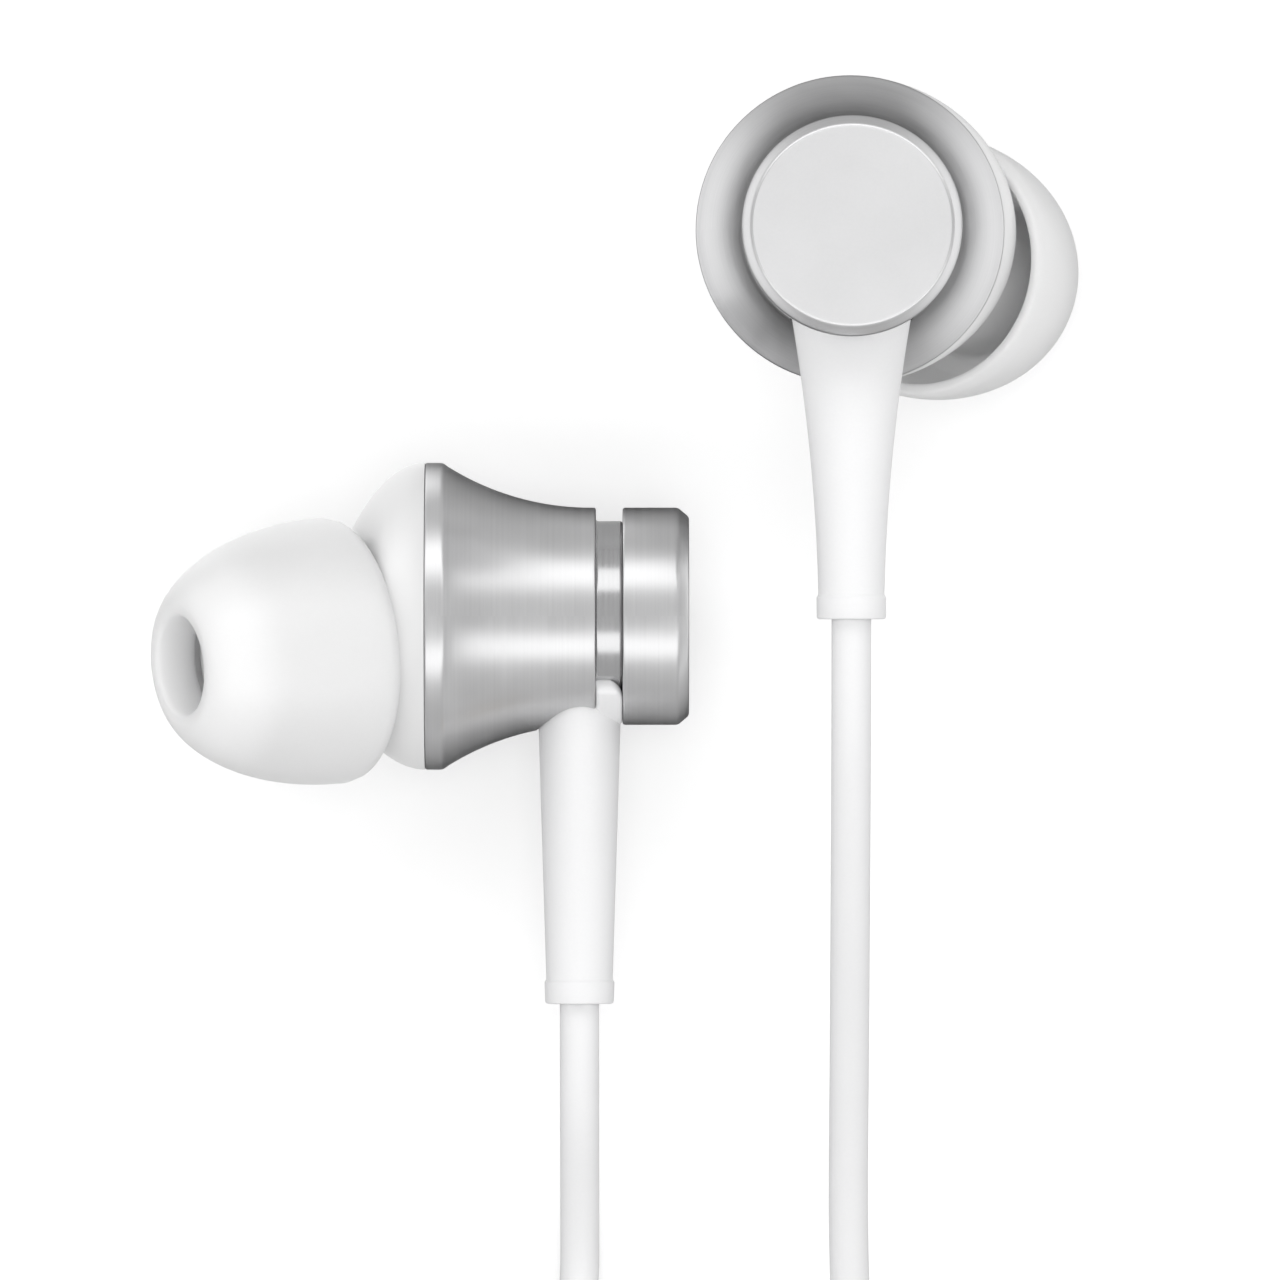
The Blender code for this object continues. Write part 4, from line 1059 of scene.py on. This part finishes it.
@dataclass
class CordSet:
    """The two leads and the main cord, each a free run, a coil and an end run in one piece."""

    left_exit: Vector
    right_exit: Vector
    place: Vector
    lead_length: float = 0.279
    right_lead_length: float = 0.297
    main_length: float = 0.873
    run_step: float = 1.2 * MM
    socket: float = 1.3 * MM
    straight: float = 2.2 * MM
    remote_straight: float = 3.0 * MM
    entry: float = 0.8 * MM
    lead_coil_r: float = 14.5 * MM
    main_coil_in: float = 7.3 * MM
    main_layer_turns: float = 2.875
    main_layers: int = 4
    remote_half: float = 10.2 * MM
    plug_back: float = 20.7 * MM

    def __post_init__(self) -> None:
        """Lays out the coils and the ends that the cords run to."""
        lead_at = self.at(-3.9, -53.7, 0.0)
        lead_in = self.lead_coil_r - 4 * PITCH
        shared = {"rate": 2 * PITCH, "layer_turns": 3.0, "stop": 4.0, "tie_turn": 0.5}
        self.left_coil = Coil(lead_at, lead_in, first_in=1.5, start=-0.15, **shared)
        self.right_coil = Coil(lead_at, lead_in, first_in=2.0, start=0.0, **shared)
        layers, turns = self.main_layers, self.main_layer_turns
        stop = layers * turns + (layers - 1) * Coil.climb_turns
        main_at = self.at(-6.3, -84.3, 0.0)
        self.main_coil = Coil(main_at, self.main_coil_in, rate=PITCH, first_in=turns, layer_turns=turns,
                              start=0.25, stop=stop, tie_turn=0.7)
        self.remote = self.at(12.0, -76.0, 2.75)
        self.plug = self.at(19.3, -62.0, 2.8)

    def at(self, x: float, y: float, z: float) -> Vector:
        """Point of a route, given in millimetres."""
        return Vector((x, y, z)) * MM + self.place

    def cord(self, name: str, before: list[Vector], coil: Coil, after: list[Vector]) -> bpy.types.Object:
        """Makes one cord: a round tube on one open line.

        Args:
            name: the cord's name.
            before: route from the exit to the coil.
            coil: the coil.
            after: route from the coil to the far end.

        Returns:
            The cord.
        """
        turns = coil.points()
        first, last = coil.heading(coil.start), coil.heading(coil.stop)
        into = before + [turns[0] - first * (CLEAR + CORD_D), turns[0] - first * CLEAR]
        out = [turns[-1] + last * CLEAR] + after
        points = smooth_route(into, self.run_step) + turns + smooth_route(out, self.run_step)
        curve = bpy.data.curves.new(name, "CURVE")
        curve.dimensions = "3D"
        curve.bevel_depth = CORD_R
        curve.bevel_resolution = ROUND_STEPS
        curve.use_fill_caps = True
        curve.twist_mode = "Z_UP"
        spline = curve.splines.new("POLY")
        spline.points.add(len(points) - 1)
        for point, spot in zip(spline.points, points):
            point.co = (*spot, 1.0)
        spline.use_smooth = True
        piece = bpy.data.objects.new(name, curve)
        bpy.context.scene.collection.objects.link(piece)
        return piece

    def left_lead(self) -> bpy.types.Object:
        """Builds and dresses the left lead.

        Returns:
            The lead.
        """
        start = self.left_exit + Vector((0, self.socket, 0))
        x, level = (start.x - self.place.x) / MM, self.left_coil.table / MM
        route = [start, start - Vector((0, self.straight, 0)), self.at(x, -25.5, 5.6), self.at(x, -29.0, 3.2),
                 self.at(x, -32.2, 1.4), self.at(x, -35.0, level), self.at(x + 0.75, -38.4, level)]
        after = self.to_remote(self.left_coil, PITCH / 2)
        piece = self.cord("left_lead_cord", route, self.left_coil, after)
        return dress(piece, SOFT_WHITE, "headset", "left_lead", "left_lead_coil", "left_lead_end")

    def right_lead(self) -> bpy.types.Object:
        """Builds and dresses the right lead.

        Returns:
            The lead.
        """
        start = self.right_exit + Vector((0, self.socket, 0))
        x, level = (start.x - self.place.x) / MM, self.right_coil.table / MM
        lane = (self.right_coil.centre.x - self.place.x + self.lead_coil_r) / MM
        route = [start, start - Vector((0, self.straight, 0)), self.at(x, -9.0, 18.0),
                 self.at(x, -16.0, 14.2), self.at(x, -23.0, 9.4), self.at(x, -30.0, 4.9),
                 self.at(lane, -36.0, 2.1), self.at(lane, -42.0, level)]
        after = self.to_remote(self.right_coil, -PITCH / 2)
        piece = self.cord("right_lead_cord", route, self.right_coil, after)
        return dress(piece, SOFT_WHITE, "headset", "right_lead", "right_lead_coil", "right_lead_end")

    def to_remote(self, coil: Coil, aside: float) -> list[Vector]:
        """Route from a lead's coil into the remote.

        Args:
            coil: the lead's coil.
            aside: how far beside the remote's middle the lead goes in.

        Returns:
            The route's points.
        """
        goal = self.remote + Vector((aside, self.remote_half, 0))
        leave = coil.points()[-1] - Vector((0, CLEAR + self.entry, 0))
        return [leave, goal + Vector((0, 2 * CORD_D, 0)), goal]

    def main_cord(self) -> bpy.types.Object:
        """Builds and dresses the main cord, from the remote to the plug.

        Returns:
            The cord.
        """
        level = self.main_coil.table / MM
        outlet = self.remote - Vector((0, self.remote_half, 0))
        route = [outlet, outlet - Vector((0, self.remote_straight, 0)), self.at(12.0, -90.5, 1.5),
                 self.at(11.0, -94.0, level), self.at(8.6, -96.5, level), self.at(5.0, -97.3, level)]
        goal = self.plug - Vector((0, self.plug_back, 0))
        leave = self.main_coil.points()[-1] - Vector((0, CLEAR + CORD_D, 0))
        after = [leave, self.at(9.0, -90.4, 7.2), self.at(13.2, -92.4, 6.0), self.at(17.4, -90.6, 4.2),
                 goal - Vector((0, 2 * CORD_D, 0)), goal]
        piece = self.cord("main_cord_whole", route, self.main_coil, after)
        return dress(piece, SOFT_WHITE, "headset", "main_cord", "main_cord_coil", "main_cord_end")

    def build(self, remote: list[bpy.types.Object], plug: list[bpy.types.Object],
              ties: list[bpy.types.Object]) -> None:
        """Args:
            remote: pieces of the remote that the leads join in; not used.
            plug: pieces of the plug; not used.
            ties: the lead coil's tie and the main coil's; not used.
        """
        self.left_lead()
        self.right_lead()
        self.main_cord()


@dataclass
class Tie:
    """Soft band round a coil."""

    name: str
    coil: Coil
    reach_in: float
    reach_out: float
    height: float
    width: float = 3.2 * MM
    thick: float = 0.5 * MM
    bevel: float = 0.12 * MM

    def outline(self, grow: float, shift: float) -> Ring:
        """Rounded outline of the band.

        Args:
            grow: how far outside the bundle it lies.
            shift: how far along the turn it lies.

        Returns:
            The outline's points.
        """
        angle = 2 * math.pi * self.coil.tie_turn
        out = Vector((math.cos(angle), -math.sin(angle), 0.0))
        across = Vector((out.y, -out.x, 0.0))
        long = self.reach_out - self.reach_in + 2 * grow
        tall = self.height + 2 * grow
        corner = CORD_R + grow
        centre = self.coil.centre + out * (self.reach_in + self.reach_out) / 2 + across * shift
        centre += Vector((0, 0, self.thick + self.height / 2))
        points = []
        for quarter, (x, y) in enumerate(((1, 1), (-1, 1), (-1, -1), (1, -1))):
            for i in range(ROUND_STEPS + 1):
                turn = math.pi / 2 * (quarter + i / ROUND_STEPS)
                z = x * (tall / 2 - corner) + corner * math.cos(turn)
                o = y * (long / 2 - corner) + corner * math.sin(turn)
                points.append(centre + out * o + Vector((0, 0, z)))
        return points

    def build(self) -> bpy.types.Object:
        """Builds and dresses the band.

        Returns:
            The band.
        """
        half = self.width / 2
        section = [(0.0, -half), (self.thick, -half), (self.thick, half), (0.0, half)]
        rings = [self.outline(grow, shift) for grow, shift in fillet(section, self.bevel, closed=True)]
        return dress(lofted(self.name + "_band", rings, closed=True), TIE_BAND, "headset", self.name)


# Remote and plug


@dataclass
class Remote:
    """Call remote in which the leads join: two shells and a pressed button."""

    length: float = 22.0 * MM
    width: float = 6.4 * MM
    height: float = 5.5 * MM
    wall: float = 0.8 * MM
    edge: float = 0.7 * MM
    button_l: float = 7.0 * MM
    button_w: float = 2.8 * MM
    button_lip: float = 0.4 * MM
    button_dish: float = 0.12 * MM
    dish_rings: int = 6
    dish_step: float = 0.36 * MM
    plunger_w: float = 1.4 * MM
    microphone_back: float = 7.0 * MM
    microphone_hole_r: float = 0.35 * MM
    entry_cut: float = 2.0 * MM
    hole_facets: int = 40
    port_facets: int = 24

    def place(self) -> Vector:
        """Finds the remote from its two shells' nodes.

        Returns:
            Its centre.
        """
        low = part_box("remote_back_shell")[0]
        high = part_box("remote_front_shell")[1]
        return (low + high) / 2

    def rings(self, shape: list[tuple[float, float, float]]) -> list[Ring]:
        """Stadium rings at the remote.

        Args:
            shape: length, width and height of each ring.

        Returns:
            The rings.
        """
        return [[self.place() + p for p in stadium(*size)] for size in shape]

    def shell(self, name: str, sign: int) -> bpy.types.Object:
        """Builds one shell with its cord entries.

        Args:
            name: the shell's node.
            sign: 1 for the front shell and -1 for the back one.

        Returns:
            The shell.
        """
        half = self.height / 2
        room = (self.length - 2 * self.wall, self.width - 2 * self.wall)
        split = sign * SEAM / 2
        shape = [(*room, sign * (half - self.wall)), (*room, split)]
        shape += [(self.length - EDGE, self.width - EDGE, split)]
        shape += [(self.length, self.width, split + sign * EDGE / 2)]
        for i in range(ROUND_STEPS + 1):
            turn = math.pi / 2 * i / ROUND_STEPS
            inset = 2 * self.edge * (1 - math.cos(turn))
            level = sign * (half - self.edge * (1 - math.sin(turn)))
            shape.append((self.length - inset, self.width - inset, level))
        piece = lofted(name + "_fine", self.rings(shape))
        for aside, end in ((-PITCH / 2, 1), (PITCH / 2, 1), (0.0, -1)):
            spot = Matrix.Translation(self.place() + Vector((aside, end * self.length / 2, 0)))
            spot = spot @ Matrix.Rotation(math.pi / 2, 4, "X")
            ends = [spot @ Matrix.Translation((0, 0, z)) for z in (-self.entry_cut, self.entry_cut)]
            hole = [circle(CORD_R + SEAM, at, self.hole_facets) for at in ends]
            combine(piece, lofted("entry", hole), Combine.CUT)
        return piece

    def front_openings(self, piece: bpy.types.Object) -> None:
        """Cuts the button's opening and the microphone's port.

        Args:
            piece: the front shell.
        """
        half = self.height / 2
        levels = (half - 1.5 * self.wall, half + self.wall)
        size = (self.button_l + 2 * SEAM, self.button_w + 2 * SEAM)
        combine(piece, lofted("opening", self.rings([(*size, z) for z in levels])), Combine.CUT)
        port = self.place() - Vector((0, self.microphone_back, 0))
        ends = [Matrix.Translation(port + Vector((0, 0, z))) for z in levels]
        hole = [circle(self.microphone_hole_r, at, self.port_facets) for at in ends]
        combine(piece, lofted("port", hole), Combine.CUT)

    def button(self) -> bpy.types.Object:
        """Builds and dresses the button, with a shallow dish on top.

        Returns:
            The button.
        """
        low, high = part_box("call_button")
        top = high.z - self.place().z
        lip_top = self.height / 2 - self.wall - SEAM
        lip = (self.button_l + 2 * self.button_lip, self.button_w + 2 * self.button_lip)
        face = (self.button_l, self.button_w)
        stem = (self.plunger_w, self.plunger_w * 0.9)
        shape = [(*stem, low.z - self.place().z), (*stem, lip_top - 2 * self.button_lip)]
        shape += [(*lip, lip_top - 2 * self.button_lip), (*lip, lip_top), (*face, lip_top)]
        shape += [(*face, top - EDGE), (face[0] - EDGE * 0.6, face[1] - EDGE * 0.6, top - EDGE * 0.3)]
        shape += [(face[0] - 2 * EDGE, face[1] - 2 * EDGE, top)]
        for i in range(1, self.dish_rings + 1):
            inset = 2 * EDGE + self.dish_step * i
            sink = self.button_dish * (1 - (1 - i / self.dish_rings) ** 2)
            shape.append((face[0] - inset, face[1] - inset, top - sink))
        return dress(lofted("call_button_fine", self.rings(shape)), ALUMINIUM, "call_button", "call_button")

    def build(self) -> list[bpy.types.Object]:
        """Builds and dresses the remote.

        Returns:
            Its pieces.
        """
        front = self.shell("remote_front_shell", 1)
        self.front_openings(front)
        back = self.shell("remote_back_shell", -1)
        dress(front, WHITE_PLASTIC, "headset", "remote_front_shell")
        dress(back, WHITE_PLASTIC, "headset", "remote_back_shell")
        return [front, back, self.button()]


@dataclass
class Plug:
    """Four-pole 3.5 mm plug: turned grip, ribbed relief, insulated pin.

    Heights are measured forward from the front face of the grip.
    """

    grip_r: float = 2.75 * MM
    grip_l: float = 13.0 * MM
    grip_edge: float = 0.5 * MM
    relief_l: float = 9.0 * MM
    relief_r: float = 2.0 * MM
    relief_end_r: float = 1.4 * MM
    relief_seat: float = 2.0 * MM
    ribs: int = 6
    rib_r: float = 0.16 * MM
    rib_taper: float = 0.075
    grip_round: float = 0.12 * MM
    relief_round: float = 0.2 * MM
    ring_round: float = 0.08 * MM
    tip_round: float = 0.25 * MM
    socket_depth: float = 1.6 * MM
    pin_r: float = 1.75 * MM
    core_r: float = 0.9 * MM
    pin_seat: float = 1.5 * MM
    sleeve_l: float = 5.0 * MM
    ring_l: float = 2.3 * MM
    band_l: float = 0.6 * MM
    tip_l: float = 3.4 * MM
    core_tail: float = 2.5 * MM
    facets: int = 64

    def place(self) -> Matrix:
        """Finds the plug's frame from its grip's node.

        Returns:
            The frame: origin at the middle of the grip's front face, Z along the pin.
        """
        low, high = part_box("plug_grip")
        middle = (low + high) / 2
        spot = Matrix.Translation((middle.x, high.y, middle.z))
        return spot @ Matrix.Rotation(-math.pi / 2, 4, "X")

    def turned(self, name: str, profile: Profile, finish: Finish, closed: bool = False) -> bpy.types.Object:
        """Turns and dresses one of the plug's pieces.

        Args:
            name: its node.
            profile: its profile.
            finish: its finish.
            closed: whether its profile is a ring.

        Returns:
            The piece.
        """
        piece = turned(name + "_fine", profile, self.place(), closed, self.facets)
        return dress(piece, finish, "headset", name)

    def grip(self) -> bpy.types.Object:
        """Builds the grip.

        Returns:
            The grip.
        """
        rear, seat = self.relief_r + SEAM, -self.grip_l + self.relief_seat
        hole, back = self.core_r + SEAM, -self.pin_seat - self.core_tail
        bevel = self.grip_edge
        profile = [(0.0, back), (hole, back), (hole, -self.pin_seat), (self.pin_r + SEAM, -self.pin_seat)]
        profile += [(self.pin_r + SEAM, 0.0), (self.grip_r - bevel, 0.0), (self.grip_r, -bevel)]
        profile += [(self.grip_r, -self.grip_l + bevel), (self.grip_r - bevel, -self.grip_l)]
        profile += [(rear, -self.grip_l), (rear, seat), (0.0, seat)]
        return self.turned("plug_grip", fillet(profile, self.grip_round), ALUMINIUM)

    def relief(self) -> bpy.types.Object:
        """Builds the relief's tapered sleeve.

        Returns:
            The relief.
        """
        top, back, end = -self.grip_l + self.relief_seat - SEAM, -self.grip_l, -self.grip_l - self.relief_l
        socket = CORD_R + SEAM
        profile = [(0.0, top), (self.relief_r, top), (self.relief_r, back)]
        profile += [((self.relief_r + self.relief_end_r) / 2, back - self.relief_l * 0.4)]
        profile += [(self.relief_end_r, end), (socket, end), (socket, end + self.socket_depth)]
        profile += [(0.0, end + self.socket_depth)]
        return self.turned("plug_relief", fillet(profile, self.relief_round), SOFT_WHITE)

    def rib_rings(self) -> bpy.types.Object:
        """Builds the ribs round the relief, one tree for all of them.

        Returns:
            The ribs, as one piece.
        """
        gap = self.relief_l / (self.ribs + 2)
        sizes = {"Ribs": self.ribs, "Gap": gap, "Root radius": self.relief_r, "Taper": self.rib_taper,
                 "Rib": self.rib_r}
        ring = NodeTree("relief_ribs", sizes)
        step = ring.node("ShaderNodeCombineXYZ", {"Z": ring.math("MULTIPLY", ring.given["Gap"], -1.0)})
        row = ring.node("GeometryNodeMeshLine", {"Count": ring.given["Ribs"], "Start Location": step[0],
                                                 "Offset": step[0]}, mode="OFFSET")
        spot = ring.node("ShaderNodeSeparateXYZ", {0: ring.node("GeometryNodeInputPosition", {})[0]})
        shrink = ring.math("MULTIPLY", spot["Z"], ring.given["Taper"])
        radius = ring.math("ADD", ring.given["Root radius"], shrink)
        share = ring.math("DIVIDE", radius, ring.given["Root radius"])
        size = ring.node("ShaderNodeCombineXYZ", {"X": share, "Y": share, "Z": 1.0})
        hoop = ring.node("GeometryNodeCurvePrimitiveCircle",
                         {"Resolution": self.facets, "Radius": ring.given["Root radius"]})
        bead = ring.node("GeometryNodeCurvePrimitiveCircle",
                         {"Resolution": BEAD_FACETS, "Radius": ring.given["Rib"]})
        rib = ring.node("GeometryNodeCurveToMesh", {"Curve": hoop[0], "Profile Curve": bead[0]})
        ribs = ring.node("GeometryNodeInstanceOnPoints",
                         {"Points": row[0], "Instance": rib[0], "Scale": size[0]})
        place = self.place() @ Matrix.Translation((0, 0, -self.grip_l))
        piece = ring.piece("plug_relief_ribs", [ribs[0]], SOFT_WHITE, place)
        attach(piece, "headset")
        return piece

    def pin(self) -> list[bpy.types.Object]:
        """Builds the pin: a black core between a sleeve, two rings and a tip.

        Returns:
            The pieces.
        """
        inner = self.core_r + SEAM
        tail = -self.pin_seat - self.core_tail + SEAM
        at = -self.pin_seat + SEAM
        core = [(self.core_r, tail), (0.0, tail)]
        poles = {"plug_sleeve": self.sleeve_l + self.pin_seat, "plug_ring_inner": self.ring_l,
                 "plug_ring_outer": self.ring_l}
        pieces = []
        for name, length in poles.items():
            top = at + length
            ring = [(self.pin_r, top), (self.pin_r, at), (inner, at), (inner, top)]
            ring = fillet(ring, self.ring_round, closed=True)
            pieces.append(self.turned(name, ring, GOLD_PLATE, closed=True))
            band = top + SEAM / 2
            far = band + self.band_l
            stop = [] if name == "plug_ring_outer" else [(self.core_r, far)]
            core = stop + [(self.pin_r - EDGE, far), (self.pin_r - EDGE, band), (self.core_r, band)] + core
            at = far + SEAM / 2
        pieces.append(self.turned("plug_core", [(0.0, at - SEAM / 2)] + core, BLACK_PLASTIC))
        nose = [(0.0, 1.0), (0.4, 0.94), (0.88, 0.56), (0.88, 0.44), (0.66, 0.3), (1.0, 0.15), (1.0, 0.0),
                (0.0, 0.0)]
        nose = [(r * self.pin_r, at + z * self.tip_l) for r, z in nose]
        pieces.append(self.turned("plug_tip", fillet(nose, self.tip_round), GOLD_PLATE))
        return pieces

    def build(self) -> list[bpy.types.Object]:
        """Builds the plug.

        Returns:
            Its pieces.
        """
        grip, sleeve, ribs = self.grip(), self.relief(), self.rib_rings()
        return [grip, sleeve, *self.pin(), ribs]


# Studio


@dataclass(frozen=True)
class Softbox:
    """A soft lamp and the point that it faces.

    Its glow is how bright its face is. A lamp that isn't mirrored stays out of reflections.
    """

    name: str
    at: Vector
    aim: Vector
    size: tuple[float, float]
    glow: float
    mirrored: bool = True

    def build(self) -> None:
        """Sets the lamp up."""
        lamp = bpy.data.lights.new(self.name, "AREA")
        lamp.shape = "RECTANGLE"
        lamp.size, lamp.size_y = self.size
        lamp.energy = self.glow * math.pi * self.size[0] * self.size[1]
        stand = bpy.data.objects.new(self.name, lamp)
        stand.location = self.at
        stand.visible_glossy = self.mirrored
        stand.rotation_euler = (self.aim - self.at).to_track_quat("-Z", "Y").to_euler()
        bpy.context.scene.collection.objects.link(stand)


STRIP_AIM = Vector((0.10, 0.0, 0.0))
SOFTBOXES = (
    Softbox("upper_softbox", Vector((0.10, 0.46, 0.46)), STRIP_AIM, size=(1.7, 0.34), glow=1.15),
    Softbox("lower_softbox", Vector((0.10, -0.34, 0.54)), STRIP_AIM, size=(1.7, 0.28), glow=1.1),
    Softbox("top_fill", Vector((0.0, 0.0, 1.25)), Vector(), size=(0.4, 0.4), glow=4.2, mirrored=False),
)


@dataclass
class Studio:
    """White table, three softboxes, a grey room and the camera straight above."""

    camera_at: Vector = field(default_factory=lambda: Vector((1.075, -4.41, 1000.0)) * MM)
    lens: float = 625.7
    sensor: float = 36.0
    sight: tuple[float, float] = (0.01, 50.0)
    table_r: float = 12.0
    table_drop: float = 0.03 * MM
    table_colour: float = 0.82
    table_roughness: float = 0.9
    table_lift: float = 0.29
    table_shade: float = 0.52
    glow_from: Vector = field(default_factory=lambda: Vector((10.46, 13.75, 0.0)) * MM)
    side_glow: float = 1.05
    glow_edge: float = 0.35
    glow_reach: float = 150 * MM
    glow_rings: tuple[tuple[float, float], ...] = (
        (13 * MM, 0.0), (22 * MM, 1.0), (34 * MM, 1.0), (43 * MM, 0.0), (70 * MM, 0.0), (100 * MM, 1.0))
    room_low: float = 0.56
    room_high: float = 0.65

    def camera(self) -> None:
        """Sets the camera up at the photograph's angle."""
        lens = bpy.data.cameras.new("camera")
        lens.lens = self.lens
        lens.sensor_width = self.sensor
        lens.clip_start, lens.clip_end = self.sight
        stand = bpy.data.objects.new("camera", lens)
        stand.location = self.camera_at
        bpy.context.scene.collection.objects.link(stand)
        bpy.context.scene.camera = stand

    def table(self) -> None:
        """Lays the white table."""
        bm = bmesh.new()
        bmesh.ops.create_circle(bm, cap_ends=True, radius=self.table_r, segments=64)
        mesh = bpy.data.meshes.new("table")
        bm.to_mesh(mesh)
        bm.free()
        mesh.transform(Matrix.Translation((0, 0, -self.table_drop)))
        top = bpy.data.objects.new("table", mesh)
        bpy.context.scene.collection.objects.link(top)
        mesh.materials.append(self.table_finish())

    def table_finish(self) -> bpy.types.Material:
        """Makes the table white to the camera and greyer to other rays, with a glow in reflections.

        The glow lies in rings at either side of the right earphone, so that its metal has dark and light
        stretches.

        Returns:
            The table's material.
        """
        finish = bpy.data.materials.new("white_table")
        finish.use_nodes = True
        tree = finish.node_tree
        rays = add_node(tree, "ShaderNodeLightPath", {}).outputs
        place = add_node(tree, "ShaderNodeTexCoord", {}).outputs["Object"]
        toward = add_node(tree, "ShaderNodeVectorMath", {0: place, 1: self.glow_from}, operation="SUBTRACT")
        away = add_node(tree, "ShaderNodeVectorMath", {0: toward.outputs[0]}, operation="LENGTH")
        heading = add_node(tree, "ShaderNodeVectorMath", {0: toward.outputs[0]}, operation="NORMALIZE")
        across = add_node(tree, "ShaderNodeSeparateXYZ", {0: heading.outputs[0]}).outputs["X"]
        aside = add_node(tree, "ShaderNodeMath", {0: across}, operation="ABSOLUTE")
        limits = {"Value": aside.outputs[0], "From Min": self.glow_edge, "To Max": self.side_glow}
        sector = add_node(tree, "ShaderNodeMapRange", limits, interpolation_type="SMOOTHSTEP")
        share = add_node(tree, "ShaderNodeMath", {0: away.outputs["Value"], 1: self.glow_reach},
                         operation="DIVIDE")
        rings = add_node(tree, "ShaderNodeValToRGB", {0: share.outputs[0]})
        rings.color_ramp.interpolation = "EASE"
        for distance, bright in self.glow_rings:
            rings.color_ramp.elements.new(distance / self.glow_reach).color = (bright, bright, bright, 1.0)
        glow = add_node(tree, "ShaderNodeMath", {0: sector.outputs[0], 1: rings.outputs[0]},
                        operation="MULTIPLY")
        mirrored = add_node(tree, "ShaderNodeMath", {0: glow.outputs[0], 1: rays["Is Glossy Ray"]},
                            operation="MULTIPLY")
        seen = rays["Is Camera Ray"]
        lift = {"Value": seen, "To Min": mirrored.outputs[0], "To Max": self.table_lift}
        shade = {"Value": seen, "To Min": self.table_shade, "To Max": self.table_colour}
        shader = tree.nodes["Principled BSDF"]
        shader.inputs["Roughness"].default_value = self.table_roughness
        shader.inputs["Specular IOR Level"].default_value = 0.0
        shader.inputs["Emission Strength"].default_value = 1.0
        for name, limits in (("Base Color", shade), ("Emission Color", lift)):
            tree.links.new(add_node(tree, "ShaderNodeMapRange", limits).outputs[0], shader.inputs[name])
        return finish

    def room(self) -> None:
        """Lights the scene from a grey room that is paler overhead."""
        world = bpy.data.worlds.new("room")
        world.use_nodes = True
        tree = world.node_tree
        way = add_node(tree, "ShaderNodeTexCoord", {}).outputs["Generated"]
        up = add_node(tree, "ShaderNodeSeparateXYZ", {0: way}).outputs["Z"]
        limits = {"Value": up, "To Min": self.room_low, "To Max": self.room_high}
        shade = add_node(tree, "ShaderNodeMapRange", limits)
        tree.links.new(shade.outputs["Result"], tree.nodes["Background"].inputs["Color"])
        bpy.context.scene.world = world

    def build(self) -> None:
        """Sets the studio up."""
        for lamp in SOFTBOXES:
            lamp.build()
        self.table()
        self.room()
        self.camera()
        bpy.context.scene.view_settings.view_transform = "Standard"


def dress_carried_nodes() -> None:
    """Gives the nodes that stay as they are their finishes."""
    for name, node in frame["nodes"].items():
        kind = name.removeprefix("left_").removeprefix("right_")
        if kind in CARRIED:
            node.data.materials.clear()
            node.data.materials.append(CARRIED[kind].material())
            LOG.info("%s keeps its shape, %s", name, CARRIED[kind].slot)


def main() -> None:
    """Builds the set and its studio in order."""
    logging.basicConfig(level=logging.INFO, format="%(message)s")
    Studio().build()
    left, right = Earphone(Side.LEFT), Earphone(Side.RIGHT)
    routes_from = left.place().to_translation() + LEFT_TO_ROUTES
    routes_from.z = 0.0
    cords = CordSet(left.cord_exit(), right.cord_exit(), routes_from)
    slack = CORD_R + 2 * CLEAR
    lead, whole = cords.left_coil, cords.main_coil
    lead_tie = Tie("lead_tie", lead, lead.inner_r - lead.climb_bulge - slack,
                   cords.lead_coil_r - PITCH + slack, 2 * PITCH + CLEAR)
    outer = whole.inner_r + cords.main_layer_turns * PITCH + whole.climb_bulge + slack
    cord_tie = Tie("cord_tie", whole, whole.inner_r - whole.climb_bulge - slack, outer,
                   cords.main_layers * PITCH + CLEAR)
    remote, plug = Remote().build(), Plug().build()
    cords.build(remote, plug, [lead_tie.build(), cord_tie.build()])
    left.build()
    right.build()
    dress_carried_nodes()


if __name__ == "__main__":
    main()
